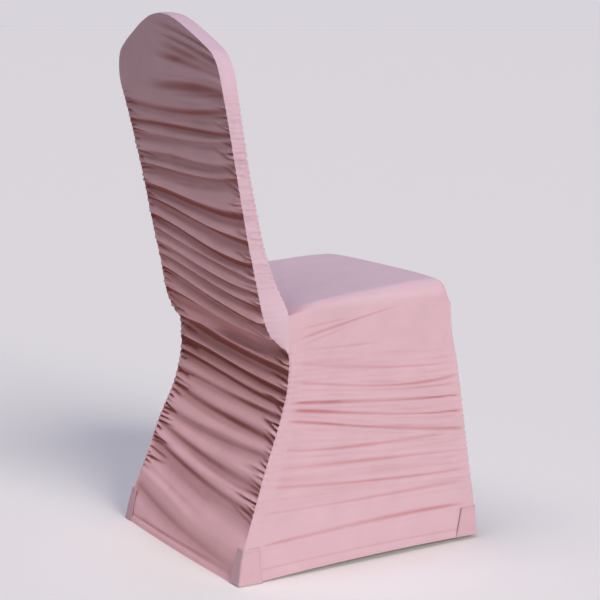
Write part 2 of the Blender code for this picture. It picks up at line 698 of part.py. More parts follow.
def side_block(back, edge):
    """Outer points and ways through of one side, hem to seat."""
    side = 1.0 if edge == -1 else -1.0
    rows = side_rows(back, edge)
    stations = np.array(SIDE_STATIONS)
    base = np.array([[side_surface(side, rear, station) for station in stations] for rear, _ in rows])
    along = np.broadcast_to(stations[None, :], base.shape[:2])
    reach = (step(stations / SIDE_REAR_REACH) * step((1.0 - stations) / SIDE_FRONT_REACH))[None, :]
    outward = unit(SIDE_NORMAL * (side, 1.0, 1.0))
    relief = fold_relief(SIDE_FOLDS, along, base[..., 2]) * reach
    relief[0] = 0.0
    relief[-1] = 0.0
    outer = base + outward * relief[..., None]
    through = np.tile(-CLOTH * outward, base.shape[:2] + (1,))
    for index, (rear, sewn) in enumerate(rows):
        if sewn:
            through[index, 0] = mitre(back_normal(rear[2]), outward)
    through[:, -1] = mitre(outward, FRONT_NORMAL)
    through[0] = level(through[0])
    return outer, through


def seat_block():
    """Outer points and ways through of the seat, right edge to left edge."""
    stations = np.array(SIDE_STATIONS)
    across = columns()
    keys = column(SEAT_SECTIONS, "station")
    height = smooth(keys, column(SEAT_SECTIONS, "height"), stations)
    roll = smooth(keys, column(SEAT_SECTIONS, "roll"), stations)
    edge_height = SKIRT_TOP + (FRONT_EDGE_HEIGHT - SKIRT_TOP) * stations
    edge_height = edge_height + SEAT_EDGE_ARCH * 4.0 * stations * (1.0 - stations)
    edge_x = SEAT_HALF_WIDTH + (FRONT_CORNER[-1].half_width - SEAT_HALF_WIDTH) * stations
    edge_y = WAIST_Y + (FRONT_CORNER[-1].y - WAIST_Y) * stations
    bulge = smooth(keys, column(SEAT_SECTIONS, "bulge"), stations)
    rounded = step(stations / SEAT_ROLL_IN) * step((1.0 - stations) / SEAT_ROLL_OUT)
    crowned = SEAT_CROWN * step(stations / SEAT_CROWN_IN) * step((1.0 - stations) / SEAT_CROWN_OUT)
    outer = np.zeros((len(across), len(stations), 3))
    for index, part in enumerate(across):
        from_edge = min(index, len(across) - 1 - index)
        turn = min(from_edge / SEAT_TURN_COLUMNS, 1.0) * np.pi / 2.0
        flat_x = part * edge_x
        x = flat_x
        if from_edge < SEAT_TURN_COLUMNS:
            rolled_x = np.sign(part) * (edge_x - roll * (1.0 - np.cos(turn)))
            x = flat_x + (rolled_x - flat_x) * rounded
        rise = height - edge_height + crowned * (1.0 - part ** 4)
        outer[index, :, 0] = x
        outer[index, :, 1] = edge_y - bulge * np.sin(turn)
        outer[index, :, 2] = edge_height + rise * np.sin(turn)
    normals = grid_normals(outer, (0.0, 0.0, 1.0))
    through = -CLOTH * normals
    through[:, 0] = (0.0, 0.0, -CLOTH)
    through[:, -1] = -CLOTH * unit(FRONT_NORMAL)
    return outer, through


def saddle(back):
    """The seat and both sides in one piece of cloth that hangs over the seat like a saddle cloth."""
    right_outer, right_through = side_block(back, 0)
    left_outer, left_through = side_block(back, -1)
    seat_outer, seat_through = seat_block()
    outer = np.concatenate((right_outer[:-1], seat_outer, left_outer[-2::-1]))
    through = np.concatenate((right_through[:-1], seat_through, left_through[-2::-1]))
    corner = len(right_outer) - 1
    for row, side in ((corner, -1.0), (corner + len(seat_outer) - 1, 1.0)):
        through[row] = -CLOTH * unit((side, 0.0, 1.0))
        through[row, 0] = (-side * CLOTH, 0.0, -CLOTH)
        through[row, -1] = mitre(SIDE_NORMAL * (side, 1.0, 1.0), FRONT_NORMAL)
    return make_sheet("seat_and_sides", outer, through, SEAT_COLOUR, "lr")


def front_skirt():
    """The skirt below the seat's front edge."""
    across = np.array(SKIRT_STATIONS)
    heights = np.linspace(0.0, FRONT_EDGE_HEIGHT, SKIRT_ROWS + 1)
    edge = np.array([front_corner(1.0, height) for height in heights])
    base = edge[:, None] * np.stack((across, np.ones_like(across), np.ones_like(across)), axis=-1)
    hollow = (1.0 - across ** 2)[None, :]
    sink = SIDE_SINK * step(heights / SIDE_SINK_ZONE)
    sink = sink * step((FRONT_EDGE_HEIGHT - heights) / SIDE_SINK_ZONE)
    base[..., 1] += sink[:, None] * hollow
    base[..., 2] += HEM_ARCH * hollow * hem_share(heights)[:, None]
    outward = unit(FRONT_NORMAL)
    along = np.broadcast_to((1.0 - across[None, :]) / 2.0, base.shape[:2])
    reach = step((1.0 - np.abs(across)) / SKIRT_REACH)[None, :]
    relief = fold_relief(SKIRT_FOLDS, along, base[..., 2]) * reach
    relief[0] = 0.0
    relief[-1] = 0.0
    outer = base + outward * relief[..., None]
    through = np.tile(-CLOTH * outward, base.shape[:2] + (1,))
    through[:, 0] = mitre(SIDE_NORMAL * (-1.0, 1.0, 1.0), FRONT_NORMAL)
    through[:, -1] = mitre(SIDE_NORMAL, FRONT_NORMAL)
    through[0] = level(through[0])
    return make_sheet("front_skirt", outer, through, SKIRT_COLOUR, "lrt")


def foot_pocket(name, side, rear):
    """A patch folded round one foot, just outside the panels it is sewn to."""
    levels = np.linspace(0.0, 1.0, POCKET_LEVELS)
    rows = []
    ways = []
    lift = POCKET_CLEARANCE + POCKET_CLOTH
    for part in levels:
        height = POCKET_BOTTOM + part * (POCKET_HEIGHT - POCKET_BOTTOM)
        side_reach = POCKET_SIDE_REACH[0] + (POCKET_SIDE_REACH[1] - POCKET_SIDE_REACH[0]) * part
        end_reach = POCKET_END_REACH[0] + (POCKET_END_REACH[1] - POCKET_END_REACH[0]) * part
        if rear:
            corner = np.array((side * section(BACK_SECTIONS, "half_width", height),
                               section(BACK_SECTIONS, "y", height),
                               height - REAR_HEM_DROP * hem_share(height)))
            end_face = back_normal(height)
            bow = float(section(BACK_SECTIONS, "bow", height))
        else:
            corner = front_corner(side, height)
            end_face = unit(FRONT_NORMAL)
            bow = 0.0
        side_face = unit(SIDE_NORMAL * (side, 1.0, 1.0))
        along_side = np.array((0.0, -1.0 if rear else 1.0, 0.0))
        along_end = np.array((-side, 0.0, 0.0))
        bend = -mitre(side_face, end_face) / CLOTH
        row = []
        way = []
        for share in POCKET_SIDE_STATIONS:
            row.append(corner + along_side * side_reach * share + side_face * lift)
            way.append(-side_face * POCKET_CLOTH)
        row.append(corner + bend * lift)
        way.append(-bend * POCKET_CLOTH)
        for share in POCKET_END_STATIONS:
            middle = 1.0 - end_reach * share / abs(corner[0])
            out = end_face * (lift + max(0.0, bow * (1.0 - middle ** 2)))
            row.append(corner + along_end * end_reach * share + out)
            way.append(-end_face * POCKET_CLOTH)
        rows.append(row)
        ways.append(way)
    return make_sheet(name, np.array(rows), level(np.array(ways)), POCKET_COLOUR, "")


def main():
    """Build every panel of the cover."""
    for thing in list(bpy.data.objects):
        bpy.data.objects.remove(thing, do_unlink=True)
    back = back_grid()
    back_panel(back)
    back_band(back)
    inner_back(back)
    saddle(back)
    front_skirt()
    for side, word in ((-1.0, "right"), (1.0, "left")):
        foot_pocket("foot_pocket_rear_" + word, side, True)
        foot_pocket("foot_pocket_front_" + word, side, False)


main()
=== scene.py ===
"""Ruched banquet-chair cover in blush stretch knit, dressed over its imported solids."""
import logging
import math
from dataclasses import dataclass, field
from enum import Enum
from typing import Any, NamedTuple, Sequence

import bpy
import numpy as np
from mathutils import Matrix


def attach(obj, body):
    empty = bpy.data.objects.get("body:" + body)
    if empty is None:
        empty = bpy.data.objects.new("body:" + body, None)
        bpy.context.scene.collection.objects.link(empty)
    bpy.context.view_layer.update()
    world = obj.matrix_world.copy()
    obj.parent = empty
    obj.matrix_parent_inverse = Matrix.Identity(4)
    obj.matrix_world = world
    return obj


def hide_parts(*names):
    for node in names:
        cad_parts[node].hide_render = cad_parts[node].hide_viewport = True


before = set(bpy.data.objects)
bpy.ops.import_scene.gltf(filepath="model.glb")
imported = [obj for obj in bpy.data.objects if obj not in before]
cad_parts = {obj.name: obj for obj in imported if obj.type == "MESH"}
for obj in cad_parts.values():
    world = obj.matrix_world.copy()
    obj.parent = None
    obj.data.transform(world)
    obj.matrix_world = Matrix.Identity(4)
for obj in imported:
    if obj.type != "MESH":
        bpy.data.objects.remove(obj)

LOG = logging.getLogger("ruched_cover")
BODY = "root"


class Side(Enum):
    """The cover's own right (-X) and left (+X) side."""

    RIGHT = -1.0
    LEFT = 1.0


class Held(Enum):
    """How a panel is held."""

    GATHERED = "gathered"
    DRAPED = "draped"
    HUNG = "hung"
    STRETCHED = "stretched"


class Section(NamedTuple):
    """Back profile at a height: how far back, half its width and how far its middle stands out."""

    height: float
    y: float
    half_width: float
    bow: float


class Crown(NamedTuple):
    """A point on the outline of the crown."""

    half_width: float
    height: float


class Band(NamedTuple):
    """Width of the boxing band at a height and how far its front edge flares out."""

    height: float
    depth: float
    flare: float


class Corner(NamedTuple):
    """Seam at a front corner at a height."""

    height: float
    y: float
    half_width: float


class Drift(NamedTuple):
    """How much higher a fold starts at the left seam than it ends at the right."""

    height: float
    drop: float


class Slant(NamedTuple):
    """Height at the rear seam and the height at the front corner that a fold runs to."""

    rear: float
    front: float


class Seat(NamedTuple):
    """The seat at a station from its rear seam to its front: height, roll and bulge of its front."""

    station: float
    height: float
    roll: float
    bulge: float


class Fold(NamedTuple):
    """A valley: heights at five stations, where it starts and ends, its depth and half width."""

    heights: tuple[float, float, float, float, float]
    start: float
    end: float
    depth: float
    half_width: float


class Wrinkles(NamedTuple):
    """Fine wrinkles: lowest and highest fold line, their number, greatest depth and half width."""

    low: float
    high: float
    count: int
    depth: float
    width: float


class Pucker(NamedTuple):
    """A mean pucker at a gathered seam: its rise for each metre, depth, half width and length."""

    slope: float
    depth: float
    width: float
    reach: float


BACK_SECTIONS = (
    Section(0.000, 0.2400, 0.2230, 0.005),
    Section(0.045, 0.2285, 0.2165, 0.003),
    Section(0.108, 0.2050, 0.2085, 0.000),
    Section(0.190, 0.1750, 0.2035, -0.003),
    Section(0.271, 0.1420, 0.1965, -0.005),
    Section(0.330, 0.1290, 0.1975, -0.006),
    Section(0.365, 0.1280, 0.2005, -0.005),
    Section(0.382, 0.1305, 0.2000, -0.003),
    Section(0.396, 0.1430, 0.1905, 0.000),
    Section(0.412, 0.1560, 0.1840, 0.002),
    Section(0.435, 0.1660, 0.1825, 0.003),
    Section(0.500, 0.1800, 0.1800, 0.003),
    Section(0.573, 0.1960, 0.1800, 0.002),
    Section(0.650, 0.2110, 0.1810, 0.001),
    Section(0.760, 0.2340, 0.1870, 0.002),
    Section(0.800, 0.2430, 0.1900, 0.003),
    Section(0.830, 0.2500, 0.1925, 0.003),
    Section(0.880, 0.2570, 0.1780, 0.002),
    Section(0.951, 0.2665, 0.0000, 0.000),
)
CROWN_OUTLINE = (
    Crown(0.1900, 0.8000),
    Crown(0.1918, 0.8320),
    Crown(0.1875, 0.8590),
    Crown(0.1745, 0.8830),
    Crown(0.1500, 0.8990),
    Crown(0.1050, 0.9205),
    Crown(0.0650, 0.9375),
    Crown(0.0300, 0.9475),
    Crown(0.0000, 0.9510),
)
SHOULDER_CORNER = 3
BAND_SECTIONS = (
    Band(0.440, 0.0390, 0.0175),
    Band(0.456, 0.0410, 0.0160),
    Band(0.480, 0.0370, 0.0110),
    Band(0.509, 0.0320, 0.0060),
    Band(0.545, 0.0285, 0.0035),
    Band(0.617, 0.0255, 0.0025),
    Band(0.700, 0.0240, 0.0020),
    Band(0.790, 0.0260, 0.0010),
    Band(0.850, 0.0285, 0.0000),
    Band(0.951, 0.0295, 0.0000),
)
FRONT_CORNER = (
    Corner(0.000, -0.2640, 0.2190),
    Corner(0.055, -0.2615, 0.2165),
    Corner(0.110, -0.2550, 0.2135),
    Corner(0.200, -0.2430, 0.2095),
    Corner(0.290, -0.2310, 0.2060),
    Corner(0.340, -0.2235, 0.2045),
    Corner(0.372, -0.2160, 0.2035),
    Corner(0.400, -0.2125, 0.2025),
    Corner(0.440, -0.2110, 0.2008),
)
FOLD_DRIFT = (
    Drift(0.000, 0.000),
    Drift(0.050, 0.030),
    Drift(0.135, 0.042),
    Drift(0.200, 0.020),
    Drift(0.260, 0.020),
    Drift(0.330, 0.028),
    Drift(0.366, 0.042),
    Drift(0.455, 0.050),
    Drift(0.560, 0.046),
    Drift(0.650, 0.022),
    Drift(0.720, 0.004),
    Drift(0.800, 0.000),
)
SIDE_SLANT = (
    Slant(0.000, 0.000),
    Slant(0.050, 0.055),
    Slant(0.100, 0.096),
    Slant(0.150, 0.124),
    Slant(0.200, 0.170),
    Slant(0.250, 0.212),
    Slant(0.300, 0.274),
    Slant(0.350, 0.336),
    Slant(0.400, 0.394),
    Slant(0.447, 0.440),
)
SEAT_SECTIONS = (
    Seat(0.000, 0.4490, 0.0020, 0.0000),
    Seat(0.085, 0.4570, 0.0070, 0.0000),
    Seat(0.220, 0.4640, 0.0120, 0.0000),
    Seat(0.420, 0.4700, 0.0170, 0.0000),
    Seat(0.630, 0.4745, 0.0220, 0.0000),
    Seat(0.830, 0.4785, 0.0270, 0.0000),
    Seat(0.930, 0.4785, 0.0280, 0.0010),
    Seat(0.965, 0.4750, 0.0250, 0.0030),
    Seat(0.988, 0.4655, 0.0180, 0.0042),
    Seat(1.000, 0.4400, 0.0100, 0.0000),
)

# Valleys of the back panel, crown to hem; stations run from the left (+X) seam to the right seam.
BACK_FOLDS = (
    Fold((0.948, 0.944, 0.936, 0.912, 0.888), 0.50, 1.00, 0.0044, 0.0052),
    Fold((0.932, 0.928, 0.920, 0.896, 0.872), 0.56, 1.00, 0.0046, 0.0054),
    Fold((0.912, 0.908, 0.900, 0.882, 0.858), 0.55, 1.00, 0.0044, 0.0058),
    Fold((0.893, 0.889, 0.882, 0.866, 0.848), 0.48, 1.00, 0.0042, 0.0058),
    Fold((0.857, 0.855, 0.852, 0.845, 0.836), 0.40, 1.00, -0.0052, 0.0100),
    Fold((0.835, 0.832, 0.829, 0.829, 0.822), 0.34, 1.00, 0.0040, 0.0110),
    Fold((0.796, 0.789, 0.7845, 0.786, 0.7925), 0.00, 1.00, 0.0038, 0.0075),
    Fold((0.760, 0.7605, 0.757, 0.755, 0.753), 0.00, 1.00, 0.0058, 0.0068),
    Fold((0.744, 0.738, 0.737, 0.7365, 0.745), 0.00, 1.00, 0.0012, 0.0070),
    Fold((0.700, 0.704, 0.700, 0.697, 0.702), 0.00, 1.00, 0.0012, 0.0090),
    Fold((0.681, 0.678, 0.672, 0.674, 0.681), 0.00, 1.00, 0.0020, 0.0090),
    Fold((0.6375, 0.633, 0.620, 0.615, 0.615), 0.00, 1.00, 0.0058, 0.0090),
    Fold((0.6185, 0.604, 0.594, 0.576, 0.570), 0.00, 1.00, 0.0042, 0.0070),
    Fold((0.5825, 0.572, 0.552, 0.5355, 0.5325), 0.00, 1.00, 0.0062, 0.0076),
    Fold((0.560, 0.547, 0.531, 0.516, 0.507), 0.00, 0.90, 0.0018, 0.0060),
    Fold((0.532, 0.521, 0.503, 0.4905, 0.484), 0.00, 1.00, 0.0024, 0.0070),
    Fold((0.510, 0.500, 0.4825, 0.468, 0.459), 0.00, 1.00, 0.0040, 0.0075),
    Fold((0.4835, 0.472, 0.4525, 0.436, 0.4255), 0.00, 1.00, 0.0068, 0.0090),
    Fold((0.441, 0.433, 0.419, 0.4055, 0.3955), 0.00, 1.00, 0.0078, 0.0115),
    Fold((0.3925, 0.389, 0.3825, 0.3785, 0.373), 0.30, 1.00, 0.0032, 0.0085),
    Fold((0.3835, 0.3645, 0.353, 0.3475, 0.344), 0.00, 1.00, 0.0062, 0.0090),
    Fold((0.341, 0.3315, 0.323, 0.3145, 0.3125), 0.00, 1.00, 0.0058, 0.0078),
    Fold((0.318, 0.309, 0.300, 0.293, 0.2925), 0.00, 1.00, 0.0052, 0.0060),
    Fold((0.2855, 0.2795, 0.274, 0.2705, 0.271), 0.00, 1.00, 0.0032, 0.0080),
    Fold((0.2585, 0.245, 0.237, 0.2345, 0.2325), 0.00, 1.00, 0.0058, 0.0074),
    Fold((0.213, 0.204, 0.199, 0.203, 0.2075), 0.00, 1.00, 0.0032, 0.0080),
    Fold((0.1865, 0.1715, 0.161, 0.1555, 0.154), 0.00, 1.00, 0.0048, 0.0080),
    Fold((0.156, 0.137, 0.125, 0.1155, 0.1115), 0.00, 1.00, 0.0062, 0.0080),
    Fold((0.103, 0.091, 0.075, 0.062, 0.054), 0.00, 0.58, 0.0028, 0.0080),
    Fold((0.066, 0.048, 0.032, 0.024, 0.018), 0.00, 0.85, 0.0032, 0.0090),
)

# Valleys of a side, top to hem; stations run from the rear seam to the front corner.
SIDE_FOLDS = (
    Fold((0.4190, 0.4275, 0.4370, 0.4440, 0.4500), 0.06, 0.34, 0.0007, 0.0017),
    Fold((0.3990, 0.4165, 0.4350, 0.4480, 0.4600), 0.06, 0.64, 0.0015, 0.0021),
    Fold((0.3850, 0.4080, 0.4260, 0.4400, 0.4500), 0.05, 0.30, 0.0011, 0.0019),
    Fold((0.3870, 0.3825, 0.3820, 0.3830, 0.3850), 0.05, 0.50, 0.0008, 0.0020),
    Fold((0.3650, 0.3485, 0.3375, 0.3300, 0.3295), 0.02, 1.00, 0.0012, 0.0024),
    Fold((0.3300, 0.3165, 0.3035, 0.2985, 0.3050), 0.04, 1.00, 0.0018, 0.0025),
    Fold((0.3180, 0.3060, 0.2960, 0.2900, 0.2900), 0.05, 1.00, 0.0010, 0.0019),
    Fold((0.2940, 0.2855, 0.2755, 0.2700, 0.2670), 0.04, 1.00, 0.0028, 0.0022),
    Fold((0.2820, 0.2685, 0.2525, 0.2425, 0.2380), 0.04, 1.00, 0.0029, 0.0022),
    Fold((0.2640, 0.2470, 0.2300, 0.2135, 0.2040), 0.04, 1.00, 0.0027, 0.0024),
    Fold((0.2170, 0.2040, 0.1985, 0.1980, 0.1985), 0.03, 0.90, 0.0014, 0.0025),
    Fold((0.1830, 0.1775, 0.1705, 0.1675, 0.1630), 0.03, 1.00, 0.0015, 0.0025),
    Fold((0.1530, 0.1435, 0.1335, 0.1290, 0.1280), 0.03, 1.00, 0.0017, 0.0028),
    Fold((0.1095, 0.1055, 0.1035, 0.1040, 0.1060), 0.04, 0.95, 0.0010, 0.0028),
    Fold((0.0535, 0.0575, 0.0620, 0.0630, 0.0610), 0.08, 0.94, 0.0020, 0.0031),
)

# Valleys of the front skirt and of the inner back, left seam to right seam.
SKIRT_FOLDS = (
    Fold((0.380, 0.377, 0.370, 0.362, 0.360), 0.00, 1.00, 0.0014, 0.0028),
    Fold((0.312, 0.309, 0.312, 0.319, 0.322), 0.00, 1.00, 0.0020, 0.0028),
    Fold((0.270, 0.266, 0.268, 0.273, 0.275), 0.00, 1.00, 0.0028, 0.0026),
    Fold((0.236, 0.231, 0.226, 0.224, 0.226), 0.00, 1.00, 0.0028, 0.0026),
    Fold((0.182, 0.179, 0.182, 0.187, 0.190), 0.00, 1.00, 0.0020, 0.0028),
    Fold((0.138, 0.130, 0.124, 0.122, 0.124), 0.00, 1.00, 0.0018, 0.0028),
    Fold((0.062, 0.059, 0.058, 0.060, 0.062), 0.08, 0.92, 0.0016, 0.0034),
)
INNER_FOLDS = (
    Fold((0.790, 0.784, 0.781, 0.783, 0.785), 0.00, 1.00, 0.0020, 0.0080),
    Fold((0.745, 0.741, 0.743, 0.749, 0.752), 0.00, 1.00, 0.0026, 0.0080),
    Fold((0.696, 0.690, 0.686, 0.687, 0.690), 0.00, 1.00, 0.0018, 0.0080),
    Fold((0.648, 0.645, 0.647, 0.653, 0.656), 0.00, 1.00, 0.0028, 0.0080),
    Fold((0.608, 0.601, 0.597, 0.598, 0.600), 0.00, 1.00, 0.0022, 0.0080),
    Fold((0.564, 0.561, 0.563, 0.568, 0.570), 0.00, 1.00, 0.0030, 0.0080),
    Fold((0.524, 0.517, 0.514, 0.516, 0.518), 0.00, 1.00, 0.0026, 0.0080),
    Fold((0.486, 0.481, 0.480, 0.483, 0.486), 0.00, 1.00, 0.0028, 0.0080),
)

SIDE_NORMAL = np.array((1.0, 0.0, 0.04))
FRONT_NORMAL = np.array((0.0, -1.0, 0.088))


def unit(vectors: np.ndarray) -> np.ndarray:
    """Vectors scaled to length one."""
    vectors = np.asarray(vectors, dtype=float)
    return vectors / np.linalg.norm(vectors, axis=-1, keepdims=True)


def column(table: Sequence[Any], name: str) -> list[float]:
    """One named column of a table."""
    return [getattr(row, name) for row in table]


def smooth(knots: Sequence[float], values: Sequence[float], t: Any) -> np.ndarray:
    """A monotone cubic curve through a short table.

    Args:
        knots: Where the table is given.
        values: The table's values there.
        t: Where the curve is read.

    Returns:
        The curve's values at t.
    """
    knots = np.asarray(knots, dtype=float)
    values = np.asarray(values, dtype=float)
    steps = np.diff(knots)
    slopes = np.diff(values) / steps
    product = slopes[:-1] * slopes[1:]
    total = np.where(product > 0.0, slopes[:-1] + slopes[1:], 1.0)
    inner = np.where(product > 0.0, 2.0 * product / total, 0.0)
    tangents = np.concatenate(((slopes[0],), inner, (slopes[-1],)))
    t = np.clip(np.asarray(t, dtype=float), knots[0], knots[-1])
    cell = np.clip(np.searchsorted(knots, t, side="right") - 1, 0, len(knots) - 2)
    h = steps[cell]
    u = (t - knots[cell]) / h
    rise = values[cell + 1] - values[cell]
    return (values[cell] + u * u * (3.0 - 2.0 * u) * rise
            + h * u * (1.0 - u) * ((1.0 - u) * tangents[cell] - u * tangents[cell + 1]))


def section(table: Sequence[Any], name: str, height: Any) -> np.ndarray:
    """A named column of a table, read at a height."""
    return smooth(column(table, "height"), column(table, name), height)


def step(t: Any) -> np.ndarray:
    """A soft step from zero to one."""
    t = np.clip(t, 0.0, 1.0)
    return t * t * (3.0 - 2.0 * t)


def bell(t: Any) -> np.ndarray:
    """A bell of height one and unit half width."""
    return np.exp(-np.asarray(t) ** 2)


def between(t: Any, low: float, rise: float, high: float, fall: float) -> np.ndarray:
    """A soft plateau, zero up to low and from high on.

    Args:
        t: Where the plateau is read.
        low: Where it starts to rise.
        rise: Length of the rise.
        high: Where it has fallen again.
        fall: Length of the fall.

    Returns:
        Shares from 0 to 1.
    """
    return step((t - low) / rise) * step((high - t) / fall)


def beside(side: float) -> np.ndarray:
    """Outward direction of a side's cloth, -1 for the right side and 1 for the left."""
    return SIDE_NORMAL * (side, 1.0, 1.0)


def stations_from_left(stations: np.ndarray, shape: tuple[int, ...]) -> np.ndarray:
    """Stations of a grid's points from 0 at the left (+X) seam to 1 at the right seam."""
    return np.broadcast_to((1.0 - stations[None, :]) / 2.0, shape)


def grid_normals(grid: np.ndarray, outward: Sequence[float]) -> np.ndarray:
    """Normals of a grid of points.

    Args:
        grid: Rows and columns of points.
        outward: A direction on the outer side.

    Returns:
        One unit normal a point, on the side that outward points to.
    """
    normals = unit(np.cross(np.gradient(grid, axis=0), np.gradient(grid, axis=1)))
    sign = np.sign(np.sum(normals * np.asarray(outward), axis=-1, keepdims=True))
    return normals * np.where(sign == 0.0, 1.0, sign)


def spread_stations(length: float, fine: Sequence[float], coarse: float) -> np.ndarray:
    """Stations from 0 to 1 that lie close together near both ends.

    Args:
        length: Real length of the run, in metres.
        fine: Distances of the close stations from an end.
        coarse: Spacing of the others.

    Returns:
        The stations as parts of the length.
    """
    count = max(1, round((length - 2.0 * fine[-1]) / coarse))
    middle = np.linspace(fine[-1], length - fine[-1], count + 1)[1:-1]
    return np.concatenate((fine, middle, length - np.array(fine[::-1]))) / length


def hem_share(height: Any) -> np.ndarray:
    """How much of the hem's own shape reaches a height: all at the hem, none above 60 mm."""
    return step(1.0 - np.asarray(height) / 0.060)


def linear(code: str) -> tuple[float, float, float, float]:
    """An sRGB hex colour turned to linear RGBA."""
    parts = [int(code[place:place + 2], 16) / 255.0 for place in (1, 3, 5)]
    turned = [c / 12.92 if c <= 0.04045 else ((c + 0.055) / 1.055) ** 2.4 for c in parts]
    return (*turned, 1.0)


def add_node(tree: bpy.types.NodeTree, kind: str, settings: dict[str, Any] | None = None,
             inputs: dict[Any, Any] | None = None) -> bpy.types.Node:
    """A new node with its settings, constants and links.

    Args:
        tree: The tree that gets the node.
        kind: The node's type name.
        settings: Properties of the node.
        inputs: A value, or an output socket to link, for each named or numbered input.

    Returns:
        The new node.
    """
    node = tree.nodes.new(kind)
    for name, value in (settings or {}).items():
        setattr(node, name, value)
    for name, value in (inputs or {}).items():
        if isinstance(value, bpy.types.NodeSocket):
            tree.links.new(value, node.inputs[name])
        else:
            node.inputs[name].default_value = value
    return node


def new_material(name: str, constants: dict[str, Any]) -> tuple[
        bpy.types.Material, bpy.types.NodeTree, bpy.types.Node]:
    """A material with constants set on its shader's own sockets.

    Args:
        name: The material's name.
        constants: Values by socket name.

    Returns:
        The material, its tree and its shader.
    """
    material = bpy.data.materials.new(name)
    material.use_nodes = True
    shader = material.node_tree.nodes["Principled BSDF"]
    for label, value in constants.items():
        shader.inputs[label].default_value = value
    return material, material.node_tree, shader


def new_object(name: str, data: bpy.types.ID) -> bpy.types.Object:
    """A new object in the scene."""
    thing = bpy.data.objects.new(name, data)
    bpy.context.scene.collection.objects.link(thing)
    return thing


def stand(thing: bpy.types.Object, axes: Sequence[np.ndarray], place: Sequence[float]) -> None:
    """Put an object at a place, its own X, Y and Z turned to three directions."""
    rows = np.stack((*axes, np.array(place)), axis=-1)
    thing.matrix_world = Matrix([*rows.tolist(), (0.0, 0.0, 0.0, 1.0)])


@dataclass(frozen=True)
class KnitFinish:
    """Polyester and elastane jersey knit, piece-dyed blush and heat-set matte.

    The eye gets a soft matte face with a faint peach sheen at grazing angles and close ribs of
    loops. Its colour is painted light and shade: a redder, deeper pink painted into the folds
    for the light that bounces inside them, and a pink that changes with height for how the
    light falls on each piece.
    """

    name: str
    # The first two colours are painted light and shade, blended from a piece's foot to its top; the
    # valley colour is painted shade in the folds.
    lower_shade: str
    upper_shade: str
    valley: str
    wale: float = 0.0013
    course: float = 0.0016
    bump: float = 0.10
    relief: float = 0.0004
    patch_scale: float = 16.0
    roughness: float = 0.86
    sheen: float = 0.22
    sheen_tint: str = "#f6dbe2"

    def build(self) -> bpy.types.Material:
        """Returns the material."""
        material, tree, shader = new_material(self.name, {
            "Roughness": self.roughness, "IOR": 1.46, "Specular IOR Level": 0.25,
            "Sheen Weight": self.sheen, "Sheen Roughness": 0.45,
            "Sheen Tint": linear(self.sheen_tint)})
        flat = add_node(tree, "ShaderNodeUVMap", {"uv_map": "cloth"})
        fold = add_node(tree, "ShaderNodeAttribute", {"attribute_name": "fold"})
        # Dye takes a little unevenly: patches of 40 to 80 mm, a few per cent apart.
        cloud = add_node(tree, "ShaderNodeTexNoise", {}, {
            "Vector": flat.outputs["UV"], "Scale": self.patch_scale, "Detail": 3.0,
            "Roughness": 0.55})
        shade = add_node(tree, "ShaderNodeMapRange", {}, {
            "Value": cloud.outputs["Fac"], "From Min": 0.3, "From Max": 0.7,
            "To Min": 0.96, "To Max": 1.03})
        # Painted light and shade: the colour is blended with height from the lower to the upper
        # colour, then toward the valley colour where the fold attribute paints shade into the folds.
        stretch = add_node(tree, "ShaderNodeAttribute", {"attribute_name": "stretch"})
        face = add_node(tree, "ShaderNodeMix", {"data_type": "RGBA"}, {
            0: stretch.outputs["Fac"], 6: linear(self.lower_shade), 7: linear(self.upper_shade)})
        fold_shaded = add_node(tree, "ShaderNodeMix", {"data_type": "RGBA"}, {
            0: fold.outputs["Fac"], 6: face.outputs[2], 7: linear(self.valley)})
        mottled = add_node(tree, "ShaderNodeVectorMath", {"operation": "SCALE"}, {
            0: fold_shaded.outputs[2], "Scale": shade.outputs["Result"]})
        tree.links.new(mottled.outputs["Vector"], shader.inputs["Base Color"])
        # Wales and courses of a fine jersey are about 0.6 mm apart, drawn twice as coarse to show.
        parts = add_node(tree, "ShaderNodeSeparateXYZ", {}, {0: flat.outputs["UV"]})
        across = add_node(tree, "ShaderNodeMath", {"operation": "MULTIPLY"}, {
            0: parts.outputs["X"], 1: math.tau / self.wale})
        along = add_node(tree, "ShaderNodeMath", {"operation": "MULTIPLY"}, {
            0: parts.outputs["Y"], 1: math.tau / self.course})
        ribs = add_node(tree, "ShaderNodeMath", {"operation": "SINE"}, {0: across.outputs[0]})
        lean = add_node(tree, "ShaderNodeMath", {"operation": "ADD"}, {
            0: along.outputs[0], 1: ribs.outputs[0]})
        loops = add_node(tree, "ShaderNodeMath", {"operation": "SINE"}, {0: lean.outputs[0]})
        weave = add_node(tree, "ShaderNodeMath", {"operation": "ADD"}, {
            0: ribs.outputs[0], 1: loops.outputs[0]})
        bump = add_node(tree, "ShaderNodeBump", {}, {
            "Strength": self.bump, "Distance": self.relief, "Height": weave.outputs[0]})
        tree.links.new(bump.outputs["Normal"], shader.inputs["Normal"])
        return material


@dataclass(frozen=True)
class ThreadFinish:
    """Spun polyester sewing thread, dyed to match: slightly shinier and darker than the knit."""

    name: str = "sewing_thread_spun_polyester"
    colour: str = "#b98691"
    lit_ply: str = "#c9969f"
    twist: float = 0.0009

    def build(self) -> bpy.types.Material:
        """Returns the material."""
        material, tree, shader = new_material(self.name, {"Roughness": 0.6})
        place = add_node(tree, "ShaderNodeTexCoord")
        # Ply twist of the thread, a little under a millimetre a turn.
        ply = add_node(tree, "ShaderNodeTexNoise", {}, {
            "Vector": place.outputs["Object"], "Scale": 1.0 / self.twist, "Detail": 1.0})
        tint = add_node(tree, "ShaderNodeMix", {"data_type": "RGBA"}, {
            0: ply.outputs["Fac"], 6: linear(self.colour), 7: linear(self.lit_ply)})
        tree.links.new(tint.outputs[2], shader.inputs["Base Color"])
        return material


